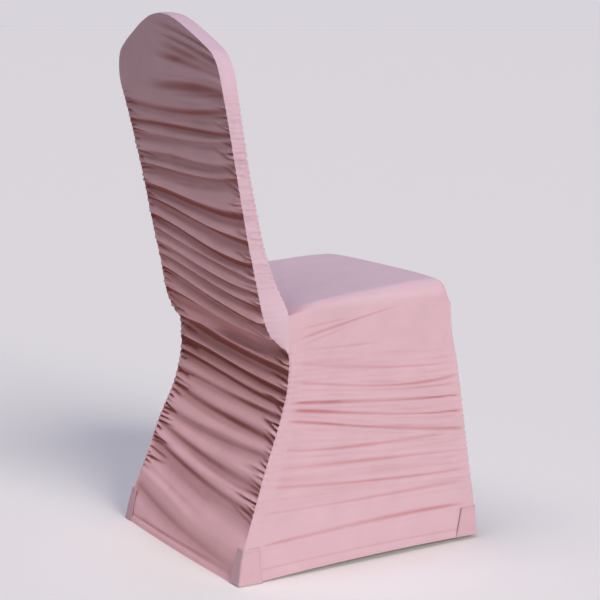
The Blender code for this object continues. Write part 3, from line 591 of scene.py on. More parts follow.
@dataclass(frozen=True)
class Cloth:
    """How thick the knit is, how far the tables lie below the hem line and the heights over which its
    colour is blended from its lower to its upper painted shade.
    """

    thickness: float = 0.0014
    lift: float = 0.006
    lower_shade_below: float = 0.28
    upper_shade_above: float = 0.92
    sharp_angle: float = 1.3

    def mitre(self, first: np.ndarray, second: np.ndarray) -> np.ndarray:
        """The way through the cloth at a seam between two faces.

        Args:
            first: Outward directions of one face.
            second: Outward directions of the other.

        Returns:
            Vectors from the outer to the inner side.
        """
        first = unit(first)
        second = unit(second)
        share = 1.0 + np.sum(first * second, axis=-1, keepdims=True)
        return -self.thickness * (first + second) / np.maximum(share, 0.35)

    def sew(self, name: str, outer: np.ndarray, through: np.ndarray, fold: np.ndarray,
            material: bpy.types.Material, extra: dict[str, np.ndarray] | None = None
            ) -> bpy.types.Object:
        """One closed sheet from a grid of outer points.

        Args:
            name: The piece's name.
            outer: Rows and columns of points on the outer side.
            through: Ways from there to the inner side.
            fold: Painted shade of each point, 0 to 1, that turns its colour toward the valley colour.
            material: The sheet's finish.
            extra: More attributes, one value or vector for each outer point.

        Returns:
            The new object.
        """
        outer = outer + (0.0, 0.0, self.lift)
        rows, cols = outer.shape[:2]
        count = rows * cols
        points = np.concatenate((outer.reshape(-1, 3), (outer + through).reshape(-1, 3)))
        index = np.arange(count).reshape(rows, cols)
        quads = np.stack((index[:-1, :-1], index[:-1, 1:], index[1:, 1:], index[1:, :-1]),
                         axis=-1).reshape(-1, 4)
        rim = np.concatenate((index[0], index[1:, -1], index[-1, -2::-1], index[-2:0:-1, 0]))
        after = np.roll(rim, -1)
        walls = np.stack((after, rim, rim + count, after + count), axis=-1)
        faces = np.concatenate((quads, quads[:, ::-1] + count, walls))
        mid = index[rows // 2, cols // 2]
        turn = np.cross(points[index[rows // 2, cols // 2 + 1]] - points[mid],
                        points[index[rows // 2 + 1, cols // 2]] - points[mid])
        if np.dot(turn, points[mid] - points[mid + count]) < 0.0:
            faces = faces[:, ::-1]
        mesh = bpy.data.meshes.new(name)
        mesh.from_pydata(points.tolist(), [], faces.tolist())
        across = np.linalg.norm(np.diff(outer, axis=1, prepend=outer[:, :1]), axis=-1)
        along = np.linalg.norm(np.diff(outer, axis=0, prepend=outer[:1]), axis=-1)
        flat = np.stack((np.cumsum(across, axis=1), np.cumsum(along, axis=0)), axis=-1)
        flat = np.tile(flat.reshape(-1, 2), (2, 1))
        corner = np.empty(len(mesh.loops), dtype=np.int32)
        mesh.loops.foreach_get("vertex_index", corner)
        layer = mesh.uv_layers.new(name="cloth")
        layer.data.foreach_set("uv", flat[corner].astype(np.float32).ravel())
        # Painted light: a share from 0 low down to 1 high up that blends each piece's colour from its
        # lower to its upper painted shade.
        stretch = step((outer[..., 2] - self.lower_shade_below) / (self.upper_shade_above - self.lower_shade_below))
        for label, values in {"fold": fold, "stretch": stretch, **(extra or {})}.items():
            kind = "FLOAT" if values.ndim == 2 else "FLOAT_VECTOR"
            store = mesh.attributes.new(label, kind, "POINT")
            both = np.tile(values.reshape(count, -1), (2, 1)).astype(np.float32).ravel()
            store.data.foreach_set("value" if kind == "FLOAT" else "vector", both)
        mesh.shade_smooth()
        mesh.set_sharp_from_angle(angle=self.sharp_angle)
        mesh.materials.append(material)
        return new_object(name, mesh)


@dataclass
class FoldField:
    """The folds of one panel: drooping tubes of cloth between placed valleys, seeded fine
    wrinkles, gathers at its two seams, and painted shade along the valleys."""

    folds: Sequence[Fold]
    seed: int
    crest: float = 0.36
    shallow: float = 0.060
    steep: float = 0.130
    puff: float = 0.085
    widest: float = 0.034
    deepest: float = 0.006
    # Strength of the painted shade in the valleys.
    fold_shade: float = 0.72
    lower: float = 0.0028
    fade: float = 0.30
    # How fast the painted shade grows with a valley's depth.
    tint_power: float = 2.5
    drooping: bool = True
    marks: tuple[float, ...] = (0.0, 0.25, 0.5, 0.75, 1.0)
    long_from: float = 0.8
    least_gap: float = 0.004

    @classmethod
    def crisp(cls, folds: Sequence[Fold], seed: int) -> "FoldField":
        """Folds of a side or the skirt: crisp creases with nearly flat cloth between them."""
        return cls(folds, seed, lower=0.0, deepest=0.0042, fade=0.16, tint_power=1.0,
                   drooping=False)

    def centre(self, fold: Fold, along: np.ndarray) -> np.ndarray:
        """Height of a valley's line at stations along it."""
        return np.polyval(np.polyfit(self.marks, fold.heights, 3), along) - self.lower

    def window(self, along: np.ndarray, start: float, end: float, fade: float) -> np.ndarray:
        """How much of a fold is left at a station.

        Args:
            along: Stations.
            start: Where the fold starts, or 0 at the seam.
            end: Where it ends, or 1 at the seam.
            fade: Part of the width over which it fades.

        Returns:
            Shares from 0 to 1.
        """
        rises = step((along - start) / fade + 0.5) if start > 0.0 else 1.0
        falls = step((end - along) / fade + 0.5) if end < 1.0 else 1.0
        return rises * falls * np.ones_like(along)

    def sway(self, along: np.ndarray, number: int) -> np.ndarray:
        """How a valley's depth changes along it."""
        return 1.0 + 0.28 * np.sin(7.0 * along + 2.4 * number) * np.cos(3.1 * number)

    def placed(self, along: np.ndarray, height: np.ndarray) -> tuple[np.ndarray, np.ndarray]:
        """Relief of the tubes and of the valleys that don't reach both seams.

        Args:
            along: Stations of the points, the same down each column.
            height: Heights of the points.

        Returns:
            Heights above the plain surface in metres, and the painted shade of each point, 0 to 1.
        """
        if self.drooping:
            relief, tint = self.tubes(along, height)
        else:
            relief, tint = np.zeros_like(height), np.zeros_like(height)
        for number, fold in enumerate(self.folds):
            if self.drooping and fold.end - fold.start > self.long_from:
                continue
            wide = fold.half_width * (1.0 + 0.3 * np.sin(5.3 * along + 1.7 * number))
            t = (height - self.centre(fold, along)) / wide
            share = self.window(along, fold.start, fold.end, self.fade) * self.sway(along, number)
            relief += fold.depth * share * (0.45 * bell((t + 1.6) / 1.1) - 0.75 * bell(t))
            # Painted shade along each valley, stronger for deeper valleys.
            if fold.depth > 0.0:
                valley_shade = min(1.0, fold.depth / self.deepest) ** self.tint_power
                tint += self.fold_shade * share ** 2 * valley_shade * bell(t - 0.3)
        return relief, np.clip(tint, 0.0, 1.0)

    def guides(self) -> list[Fold]:
        """The valleys that run from seam to seam, lowest first."""
        long_folds = [fold for fold in self.folds if fold.end - fold.start > self.long_from]
        return sorted(long_folds, key=lambda fold: fold.heights[2])

    def tubes(self, along: np.ndarray, height: np.ndarray) -> tuple[np.ndarray, np.ndarray]:
        """Relief of the tubes of cloth between neighbouring valleys.

        A tube droops: from its valley it rises steeply to its crest, and falls gently from there
        to the next valley above.

        Args:
            along: Stations of the points, the same down each column.
            height: Heights of the points.

        Returns:
            Heights above the plain surface in metres, and how deep in a fold each point lies.
        """
        guides = self.guides()
        relief = np.zeros_like(height)
        tint = np.zeros_like(height)
        here = np.asarray(along[0])
        lines = np.stack([self.centre(fold, here) for fold in guides])
        margin = 1.3 * self.widest
        lines = np.concatenate((lines[:1] - margin, lines, lines[-1:] + margin))
        gaps = np.maximum(np.diff(lines, axis=0), self.least_gap)
        near = np.minimum(gaps, self.widest)
        depth = np.zeros_like(lines)
        dark = np.zeros_like(lines)
        for number, fold in enumerate(guides):
            share = self.window(here, fold.start, fold.end, self.fade) * self.sway(here, number)
            part = np.clip(fold.depth * share / self.deepest, 0.0, 1.3)
            around = 0.5 * (near[number] + near[number + 1])
            depth[number + 1] = (self.shallow + self.steep * part) * around
            dark[number + 1] = self.fold_shade * part
        crests = self.puff * near
        crests[0] = 0.0
        crests[-1] = 0.0
        for col in range(height.shape[1]):
            own = height[:, col]
            cell = np.clip(np.searchsorted(lines[:, col], own) - 1, 0, len(gaps) - 1)
            part = np.clip((own - lines[cell, col]) / gaps[cell, col], 0.0, 1.0)
            top = crests[cell, col]
            up = step(part / self.crest)
            down = step((1.0 - part) / (1.0 - self.crest))
            floor_below = -depth[cell, col]
            floor_above = -depth[cell + 1, col]
            relief[:, col] = np.where(part < self.crest, floor_below + (top - floor_below) * up,
                                      floor_above + (top - floor_above) * down)
            rise = part * gaps[cell, col] / np.minimum(near[cell, col], 0.020)
            fall = (1.0 - part) * gaps[cell, col] / np.minimum(near[cell, col], 0.020)
            # Painted shade just above and below each valley.
            tint[:, col] = (dark[cell, col] * bell((rise - 0.10) / 0.26)
                            + dark[cell + 1, col] * bell(fall / 0.12))
        return relief, np.clip(tint, 0.0, 1.0)

    def flow(self, along: np.ndarray, height: np.ndarray) -> np.ndarray:
        """The middle height of the fold line through each point.

        Args:
            along: Stations of the points, the same down each column.
            height: Heights of the points.

        Returns:
            Heights at the middle of the panel.
        """
        guides = self.guides()
        middle = [-0.5] + [float(self.centre(fold, np.array(0.5))) for fold in guides] + [1.5]
        result = np.empty_like(height)
        for col in range(height.shape[1]):
            here = along[0, col]
            lines = [float(self.centre(fold, np.array(here))) for fold in guides]
            result[:, col] = np.interp(height[:, col], [-0.5] + lines + [1.5], middle)
        return result

    def wrinkles(self, along: np.ndarray, flow: np.ndarray, fine: Wrinkles) -> np.ndarray:
        """Relief of fine wrinkles that run with the folds.

        Args:
            along: Stations of the points.
            flow: Fold line of each point.
            fine: Where the wrinkles lie, their number and sizes.

        Returns:
            Heights above the plain surface, in metres.
        """
        rng = np.random.default_rng(self.seed)
        relief = np.zeros_like(flow)
        for _ in range(fine.count):
            centre = (rng.uniform(fine.low, fine.high)
                      + rng.uniform(-0.010, 0.010) * (along - 0.5))
            middle = rng.uniform(0.0, 1.0)
            half = rng.uniform(0.12, 0.42)
            size = fine.depth * rng.uniform(0.25, 1.0)
            wide = fine.width * rng.uniform(0.7, 1.6)
            relief -= size * bell((flow - centre) / wide) * step(1.0 - np.abs(along - middle) / half)
        return relief

    def gather_lines(self, low: float, high: float, pitch: float, seed: int) -> np.ndarray:
        """Heights at which a seam is drawn together.

        Args:
            low: Lowest gather.
            high: Highest gather.
            pitch: Mean distance between two.
            seed: Seed of their unevenness.

        Returns:
            The heights, lowest first.
        """
        rng = np.random.default_rng(seed)
        steps = pitch * rng.uniform(0.62, 1.38, int((high - low) / pitch) + 1)
        lines = low + np.cumsum(steps)
        return lines[lines < high]

    def gathers(self, inside: np.ndarray, height: np.ndarray, lines: np.ndarray,
                pucker: Pucker, seed: int) -> np.ndarray:
        """Relief of the short puckers that fan out from a seam.

        Args:
            inside: Distance of each point from the seam.
            height: Height of each point.
            lines: Heights at which the seam is drawn together.
            pucker: The mean pucker.
            seed: Seed of their unevenness.

        Returns:
            Heights above the plain surface, in metres.
        """
        rng = np.random.default_rng(seed)
        relief = np.zeros_like(height)
        for line in lines:
            tilt = pucker.slope + rng.uniform(-0.16, 0.16)
            size = pucker.depth * rng.uniform(0.35, 1.25)
            run = pucker.reach * rng.uniform(0.45, 1.7)
            wide = pucker.width * rng.uniform(0.75, 1.3) * (1.0 + 0.5 * inside / run)
            t = (height - line - tilt * inside) / wide
            hold = np.clip(1.0 - inside / run, 0.0, 1.0)
            relief += size * (0.45 * bell((t - 1.8) / 1.0) - bell(t)) * hold
        return relief


@dataclass
class BackShape:
    """The seams and the plain surface of the backrest that all its panels share."""

    cloth: Cloth
    main_rows: int = 392
    crown_rows: int = 70
    shoulder: float = 0.800
    skirt_top: float = 0.447
    seat_half_width: float = 0.200
    waist_y: float = 0.128
    gusset_tip: float = 0.380
    panel_half_width: float = 0.190
    hem_drop: float = 0.006
    scallop: float = 0.0021
    fine: tuple[float, ...] = (0.0, 0.0012, 0.0028, 0.005, 0.0075, 0.010, 0.0125, 0.0155,
                               0.0185, 0.022, 0.026, 0.0305, 0.0355, 0.041, 0.047)
    coarse: float = 0.0058
    gather_pitch: float = 0.0098
    stations: np.ndarray = field(init=False)
    grid: np.ndarray = field(init=False)
    lines: dict[Side, np.ndarray] = field(init=False)

    def __post_init__(self) -> None:
        """Lay out the shared grid and the gathers."""
        width = 2.0 * self.panel_half_width
        self.stations = 2.0 * spread_stations(width, self.fine, self.coarse) - 1.0
        self.lines = {side: FoldField((), 0).gather_lines(0.088, 0.835, self.gather_pitch, seed)
                      for side, seed in ((Side.RIGHT, 11), (Side.LEFT, 23))}
        self.grid = self._lay_out()

    def normal(self, height: Any) -> np.ndarray:
        """Outward direction of the back profile at a height."""
        small = 0.004
        rise = (section(BACK_SECTIONS, "y", height + small)
                - section(BACK_SECTIONS, "y", height - small))
        height = np.asarray(height, dtype=float)
        return unit(np.stack((np.zeros_like(height), np.ones_like(height),
                              -rise / (2.0 * small)), axis=-1))

    def outline(self, u: np.ndarray) -> tuple[np.ndarray, np.ndarray, float]:
        """The crown's outline.

        Args:
            u: From 0 at its start to 1 at the apex.

        Returns:
            Half width, height, and u at the shoulder's corner.
        """
        wide = np.array(column(CROWN_OUTLINE, "half_width"))
        high = np.array(column(CROWN_OUTLINE, "height"))
        run = np.concatenate(((0.0,), np.cumsum(np.hypot(np.diff(wide), np.diff(high)))))
        run /= run[-1]
        return smooth(run, wide, u), smooth(run, high, u), float(run[SHOULDER_CORNER])

    def _lay_out(self) -> np.ndarray:
        """Returns the plain points of the back panel, hem to crown, right seam to left seam."""
        stations = self.stations
        levels = np.linspace(0.0, self.shoulder, self.main_rows + 1)
        drop = section(FOLD_DRIFT, "drop", levels)
        height = levels[:, None] + 0.5 * drop[:, None] * stations[None, :]
        main = np.stack((stations * section(BACK_SECTIONS, "half_width", height), height), axis=-1)
        flat = np.concatenate((main, self._crown(main[-1])[1:]))
        bow = section(BACK_SECTIONS, "bow", flat[..., 1]) * (1.0 - stations ** 2)
        depth = section(BACK_SECTIONS, "y", flat[..., 1]) + bow
        dropped = flat[..., 1] - self.hem_drop * hem_share(flat[..., 1])
        return np.stack((flat[..., 0], depth, dropped), axis=-1)

    def _crown(self, lowest: np.ndarray) -> np.ndarray:
        """Width and height of the crown's points between the lowest row and the outline."""
        stations = self.stations
        blend = ((stations[None, :] + 1.0) / 2.0)[..., None]
        corner = self.outline(np.array(0.0))[2]
        t = np.linspace(0.0, 1.0, self.crown_rows + 1)[:, None]
        wide, high, _ = self.outline(t[:, 0] * corner)
        top_wide, top_high, _ = self.outline(1.0 - np.abs(stations) * (1.0 - corner))
        top = np.stack((np.sign(stations) * top_wide, top_high), axis=-1)
        right = np.stack((-wide, high), axis=-1)
        left = np.stack((wide, high), axis=-1)
        t = t[..., None]
        ruled = (1.0 - t) * lowest[None] + t * top[None]
        sides = (1.0 - blend) * right[:, None] + blend * left[:, None]
        corners = ((1.0 - t) * ((1.0 - blend) * lowest[0] + blend * lowest[-1])
                   + t * ((1.0 - blend) * top[0] + blend * top[-1]))
        return ruled + sides - corners

    def strength(self, height: Any) -> np.ndarray:
        """How strongly the cloth is gathered at a height: none at crown and hem."""
        return between(height, 0.075, 0.05, 0.835, 0.06) * (
            0.62 + 0.38 * step((0.45 - height) / 0.08))

    def scallops(self, side: Side, height: np.ndarray) -> np.ndarray:
        """How far the rear seam stands out between its gathers."""
        pull = np.zeros_like(height)
        for line in self.lines[side]:
            pull += bell((height - line) / 0.0027)
        return self.scallop * (0.45 - pull) * self.strength(height)

    def tip(self, edge: int) -> int:
        """The row of the back panel at which the band starts on one side."""
        return int(np.argmin(np.abs(self.grid[:self.main_rows, edge, 2] - self.gusset_tip)))

    def band_front(self, points: np.ndarray) -> np.ndarray:
        """The band's front edge opposite points on its back edge.

        Args:
            points: Points on the back edge.

        Returns:
            Points on the front edge.
        """
        side = np.sign(np.where(np.abs(points[:, 0]) > 1e-9, points[:, 0], 0.0))
        height = points[:, 2]
        depth = section(BAND_SECTIONS, "depth", height)
        flare = section(BAND_SECTIONS, "flare", height)
        edge_y = section(BACK_SECTIONS, "y", height) - depth
        free = np.stack((points[:, 0] + side * flare, edge_y, height), axis=-1)
        low = np.stack((side * self.seat_half_width, np.full_like(height, self.waist_y), height),
                       axis=-1)
        return np.where((height < self.skirt_top)[:, None], low, free)

    def band_path(self) -> np.ndarray:
        """Back edge of the band: up the right side, over the crown and down the left side."""
        return np.concatenate((self.grid[self.tip(0):, 0], self.grid[-1, 1:-1],
                               self.grid[:self.tip(-1) - 1:-1, -1]))

    def band_normals(self) -> np.ndarray:
        """Outward directions of the band along its path."""
        path = self.band_path()
        across = self.band_front(path) - path
        normals = unit(np.cross(np.gradient(path, axis=0), across))
        out = path - np.array((0.0, 0.2, 0.62))
        return normals * np.sign(np.sum(normals * out, axis=-1, keepdims=True))

    def front_ruche(self, side: float, height: np.ndarray) -> np.ndarray:
        """How far the band's front edge stands out between its own gathers."""
        wave = (np.sin(height * math.tau / 0.0093 + 0.8 * side)
                + 0.7 * np.sin(height * math.tau / 0.0147 + 1.9 + side)
                + 0.5 * np.sin(height * math.tau / 0.0061 + 0.4))
        share = step((height - self.skirt_top - 0.01) / 0.02) * step((0.83 - height) / 0.05)
        return 0.00075 * wave * share

    def seam_out(self, edge: int) -> np.ndarray:
        """Displacement of a rear seam's points by its scallops.

        Args:
            edge: Column of the grid, 0 for the right seam and -1 for the left.

        Returns:
            One vector for each row of the grid.
        """
        side = Side.RIGHT if edge == 0 else Side.LEFT
        points = self.grid[:, edge]
        own = self.normal(points[:, 2])
        out = unit(own + unit(np.tile(beside(side.value), (len(points), 1))))
        return out * self.scallops(side, points[:, 2])[:, None]


@dataclass
class BackPanel:
    """The ruched back panel from hem to crown."""

    shape: BackShape
    finish: KnitFinish
    width: float = 0.44
    length: float = 1.16
    cut: float = 0.47
    fade: float = 0.016
    fine: Wrinkles = Wrinkles(0.10, 0.83, 190, 0.0026, 0.0030)
    crown_fine: Wrinkles = Wrinkles(0.84, 0.93, 14, 0.0010, 0.0042)
    pucker: Pucker = Pucker(0.12, 0.0064, 0.0018, 0.050)
    left_slope: float = -0.14
    bunching: float = 1.00
    bunched_from: float = 0.27
    bunched_to: float = 0.76
    valley_floor: float = 0.0064
    lean_ease: float = 0.0024
    lean_height: float = 0.712
    waist_height: float = 0.395
    # Painted shade: a band of painted shadow at the waist, more fold shade around it, less at the
    # foot.
    waist_shadow: float = 0.25
    waist_shade_boost: float = 0.50
    foot_shade_ease: float = 0.50
    hem_height: float = 0.0135

    def build(self) -> bpy.types.Object:
        """Returns the panel."""
        shape, cloth = self.shape, self.shape.cloth
        base = shape.grid
        normals = grid_normals(base, (0.0, 1.0, 0.0))
        along = stations_from_left(shape.stations, base.shape[:2])
        inside = np.broadcast_to(shape.panel_half_width * (1.0 - np.abs(shape.stations)),
                                 base.shape[:2])
        height = base[..., 2]
        folds = FoldField(BACK_FOLDS, 5)
        flow = folds.flow(along, height)
        relief, tint = folds.placed(along, height)
        bunched = between(height, self.bunched_from, 0.05, self.bunched_to, 0.08)
        relief *= (0.45 + 0.55 * step(inside / self.fade)) * (1.0 + self.bunching * bunched)
        above_waist = height - self.waist_height
        # Painted shade: stronger where the cloth bunches and around the waist, weaker at the foot, and
        # a band of painted shadow at the waist.
        tint *= 1.0 + 0.35 * bunched + self.waist_shade_boost * bell(above_waist / 0.085)
        tint *= 1.0 - self.foot_shade_ease * step((self.bunched_from - height) / 0.06)
        tint += self.waist_shadow * bell(above_waist / 0.060)
        relief += folds.wrinkles(along, flow, self.fine) * between(height, 0.03, 0.06, 0.845, 0.05)
        relief += folds.wrinkles(along, flow, self.crown_fine) * step((along - 0.45) / 0.2)
        for edge, side in ((0, Side.RIGHT), (-1, Side.LEFT)):
            near = np.where(np.sign(shape.stations) == side.value, inside, 1.0)
            pucker = (self.pucker if side is Side.RIGHT
                      else self.pucker._replace(slope=self.left_slope))
            fan = folds.gathers(near, height, shape.lines[side], pucker, 40 + edge)
            fan = fan * shape.strength(height)
            relief += fan
            # Painted shade in the creases of the puckers.
            tint += np.clip(-fan / 0.0040, 0.0, 0.8)
        relief += self.hem(along, height)
        relief = self.kept_shallow(relief, height)
        relief *= step(inside / 0.0035)
        relief[-1] = 0.0
        crown_fade = step((base[-1:, :, 2] - height) / 0.012 + (height < shape.shoulder))
        relief *= crown_fade
        outer = base + normals * relief[..., None]
        for edge in (0, -1):
            own_half = (shape.stations <= 0.0) if edge == 0 else (shape.stations > 0.0)
            share = np.exp(-inside / 0.005) * own_half[None, :]
            outer += shape.seam_out(edge)[:, None, :] * share[..., None]
        through = -cloth.thickness * normals
        self.mitre_edges(base, through)
        # Painted shade wherever the cloth sinks below its plain surface.
        tint = np.clip(tint + np.clip(-relief / 0.012, 0.0, 0.4), 0.0, 1.0)
        return cloth.sew("back_panel_cloth", outer, through, tint, self.finish.build())

    def kept_shallow(self, relief: np.ndarray, height: np.ndarray) -> np.ndarray:
        """Valleys eased to a floor, so that the cloth stays out of the backrest's openings.

        Args:
            relief: Heights above the plain surface.
            height: Heights of the points.

        Returns:
            The relief, its valleys no deeper than the floor, which is highest where the back leans in.
        """
        floor = self.valley_floor - self.lean_ease * bell((height - self.lean_height) / 0.030)
        return np.where(relief < 0.0, -floor * np.tanh(-relief / floor), relief)

    def hem(self, along: np.ndarray, height: np.ndarray) -> np.ndarray:
        """Relief of the rolled hem with the crease above it, deepest in the middle."""
        above = height + self.shape.hem_drop
        roll = 0.0012 * bell((above - 0.006) / 0.006)
        middle = between(along, 0.0, 0.2, 0.9, 0.25)
        crease = (0.0010 + 0.0022 * middle) * bell((above - self.hem_height) / 0.0028)
        return roll * (0.4 + 0.6 * middle) - crease

    def mitre_edges(self, base: np.ndarray, through: np.ndarray) -> None:
        """Turn the ways through the cloth at the seams, crown and hem in place.

        Args:
            base: The plain points.
            through: The ways through, changed in place.
        """
        shape, cloth = self.shape, self.shape.cloth
        band = shape.band_normals()
        count = base.shape[0]
        for edge, side in ((0, Side.RIGHT), (-1, Side.LEFT)):
            next_to = np.tile(unit(beside(side.value)), (count, 1))
            run = count - shape.tip(edge)
            next_to[shape.tip(edge):] = band[:run] if edge == 0 else band[len(band) - run:][::-1]
            through[:, edge] = cloth.mitre(shape.normal(base[:, edge, 2]), next_to)
        first = count - shape.tip(0) - 1
        crown = band[first:first + base.shape[1]]
        through[-1] = cloth.mitre(shape.normal(base[-1, :, 2]), crown)
        through[0, :, 2] = 0.0


@dataclass
class BackBand:
    """The ruched boxing band between back and inner back, with a gusset at each end."""

    shape: BackShape
    finish: KnitFinish
    across: int = 15
    swell: float = 0.0012
    width: float = 0.031
    length: float = 1.75
    ridge_pitch: float = 0.0080
    ridge_height: float = 0.0084
    unevenness: float = 2.6
    stitch_place: float = 0.84
    stitch_dip: float = 0.0007

    def build(self) -> bpy.types.Object:
        """Returns the band, its ridges made by Geometry Nodes."""
        shape, cloth = self.shape, self.shape.cloth
        path = shape.band_path()
        normals = shape.band_normals()
        side = np.where(path[:, 0] < 0.0, -1.0, 1.0)
        height = path[:, 2]
        rows = len(path)
        right = shape.grid.shape[0] - shape.tip(0)
        left = shape.grid.shape[0] - shape.tip(-1)
        back = path.copy()
        back[:right] += shape.seam_out(0)[shape.tip(0):]
        back[rows - left:] += shape.seam_out(-1)[shape.tip(-1):][::-1]
        inner_face = -shape.normal(height)
        ruche = np.where(side < 0.0, shape.front_ruche(-1.0, height), shape.front_ruche(1.0, height))
        front = shape.band_front(path) + unit(normals + inner_face) * ruche[:, None]
        part = np.linspace(0.0, 1.0, self.across + 1)
        swell = self.swell * np.sin(math.pi * part)
        outer = (back[:, None] * (1.0 - part[None, :, None]) + front[:, None] * part[None, :, None]
                 + normals[:, None] * swell[None, :, None])
        run = np.concatenate(((0.0,), np.cumsum(np.linalg.norm(np.diff(path, axis=0), axis=1))))
        above = height > shape.skirt_top - 0.012
        beside_seat = -cloth.thickness * unit(SIDE_NORMAL * np.stack(
            (side, np.ones(rows), np.ones(rows)), axis=-1))
        through = np.repeat((-cloth.thickness * normals)[:, None], self.across + 1, axis=1)
        through[:, 0] = cloth.mitre(normals, shape.normal(height))
        through[:, -1] = np.where(above[:, None], cloth.mitre(normals, inner_face), beside_seat)
        gather = between(height, 0.475, 0.04, 0.845, 0.09)
        shares = np.broadcast_to(part[None, :], (rows, self.across + 1))
        seam_dip = bell((shares - self.stitch_place) / 0.06) * gather[:, None]
        outer = outer - normals[:, None] * (self.stitch_dip * seam_dip)[..., None]
        extra = {label: np.repeat(values[:, None], self.across + 1, axis=1)
                 for label, values in (("run", run), ("gather", gather), ("outward", normals))}
        extra["across"] = shares
        # Painted shade along the dip of the stitch line.
        plain = cloth.sew("back_band_cloth", outer, through, 0.35 * seam_dip,
                          self.finish.build(), extra)
        return self.ruched(plain)

    def ruched(self, plain: bpy.types.Object) -> bpy.types.Object:
        """Raise the ridges between the band's gathers and paint shade into the hollows between them.

        Args:
            plain: The smooth band with its run, across, gather and outward attributes.

        Returns:
            The band as a plain mesh.
        """
        tree, given, inputs = node_group("band_ruching", {
            "Ridge Pitch": self.ridge_pitch, "Ridge Height": self.ridge_height,
            "Unevenness": self.unevenness}, plain.data.materials[0])
        run, across, gather = (
            add_node(tree, "GeometryNodeInputNamedAttribute", {"data_type": "FLOAT"},
                     {"Name": name}).outputs[0] for name in ("run", "across", "gather"))
        outward = add_node(tree, "GeometryNodeInputNamedAttribute", {"data_type": "FLOAT_VECTOR"},
                           {"Name": "outward"}).outputs[0]
        turns = add_node(tree, "ShaderNodeMath", {"operation": "DIVIDE"}, {
            0: run, 1: given.outputs["Ridge Pitch"]})
        # The noise is read at a fixed offset of 3.7, so it is the same on every run.
        chance = add_node(tree, "ShaderNodeTexNoise", {"noise_dimensions": "2D"}, {
            "Vector": add_node(tree, "ShaderNodeCombineXYZ", {}, {
                0: add_node(tree, "ShaderNodeMath", {"operation": "MULTIPLY_ADD"}, {
                    0: turns.outputs[0], 1: 0.33, 2: 3.7}).outputs[0],
                1: add_node(tree, "ShaderNodeMath", {"operation": "MULTIPLY"}, {
                    0: across, 1: 0.35}).outputs[0]}).outputs[0],
            "Scale": 1.0, "Detail": 2.0})
        shifted = add_node(tree, "ShaderNodeMath", {"operation": "MULTIPLY_ADD"}, {
            0: chance.outputs["Fac"], 1: given.outputs["Unevenness"], 2: turns.outputs[0]})
        angle = add_node(tree, "ShaderNodeMath", {"operation": "MULTIPLY"}, {
            0: shifted.outputs[0], 1: math.tau})
        wave = add_node(tree, "ShaderNodeMath", {"operation": "SINE"}, {0: angle.outputs[0]})
        size = add_node(tree, "ShaderNodeMath", {"operation": "MULTIPLY"}, {
            0: chance.outputs["Fac"], 1: given.outputs["Ridge Height"]})
        ridge = add_node(tree, "ShaderNodeMath", {"operation": "MULTIPLY"}, {
            0: wave.outputs[0], 1: size.outputs[0]})
        inverse = add_node(tree, "ShaderNodeMath", {"operation": "SUBTRACT"}, {0: 1.0, 1: across})
        hump = add_node(tree, "ShaderNodeMath", {"operation": "MULTIPLY"}, {
            0: across, 1: inverse.outputs[0]})
        wide = add_node(tree, "ShaderNodeMath", {"operation": "POWER"}, {0: hump.outputs[0], 1: 0.4})
        held = add_node(tree, "ShaderNodeMath", {"operation": "MULTIPLY"}, {
            0: wide.outputs[0], 1: gather})
        rise = add_node(tree, "ShaderNodeMath", {"operation": "MULTIPLY"}, {
            0: ridge.outputs[0], 1: held.outputs[0]})
        offset = add_node(tree, "ShaderNodeVectorMath", {"operation": "SCALE"}, {
            0: outward, "Scale": rise.outputs[0]})
        moved = add_node(tree, "GeometryNodeSetPosition", {}, {
            "Geometry": given.outputs["Geometry"], "Offset": offset.outputs[0]})
        # Painted shade: where the cloth sinks between ridges it is darkened toward the valley colour.
        sunk = add_node(tree, "ShaderNodeMath", {"operation": "DIVIDE", "use_clamp": True}, {
            0: add_node(tree, "ShaderNodeMath", {"operation": "MULTIPLY"}, {
                0: rise.outputs[0], 1: -0.30}).outputs[0], 1: given.outputs["Ridge Height"]})
        fold_shade = add_node(tree, "GeometryNodeStoreNamedAttribute", {"data_type": "FLOAT"}, {
            "Geometry": moved.outputs[0], "Name": "fold", "Value": sunk.outputs[0]})
        real = add_node(tree, "GeometryNodeRealizeInstances", {}, {0: fold_shade.outputs[0]})
        finish_group(tree, given, real.outputs[0])
        return settle(plain, tree, inputs)


def node_group(name: str, sizes: dict[str, float], finish: bpy.types.Material) -> tuple[
        bpy.types.NodeTree, bpy.types.Node, dict[str, Any]]:
    """A Geometry Nodes tree with named sizes and a finish among its inputs.

    Args:
        name: The tree's name.
        sizes: Values by input name.
        finish: The material that the tree puts on its result.

    Returns:
        The tree, its input node, and the values by socket identifier.
    """
    tree = bpy.data.node_groups.new(name, "GeometryNodeTree")
    face = tree.interface
    for way in ("OUTPUT", "INPUT"):
        face.new_socket("Geometry", in_out=way, socket_type="NodeSocketGeometry")
    inputs = {face.new_socket(label, in_out="INPUT", socket_type="NodeSocketFloat").identifier: value
              for label, value in sizes.items()}
    slot = face.new_socket("Finish", in_out="INPUT", socket_type="NodeSocketMaterial")
    inputs[slot.identifier] = finish
    return tree, add_node(tree, "NodeGroupInput"), inputs


def finish_group(tree: bpy.types.NodeTree, given: bpy.types.Node,
                 geometry: bpy.types.NodeSocket) -> None:
    """End a tree with its finish on its geometry."""
    dressed = add_node(tree, "GeometryNodeSetMaterial", {}, {
        "Geometry": geometry, "Material": given.outputs["Finish"]})
    add_node(tree, "NodeGroupOutput", {}, {0: dressed.outputs[0]})


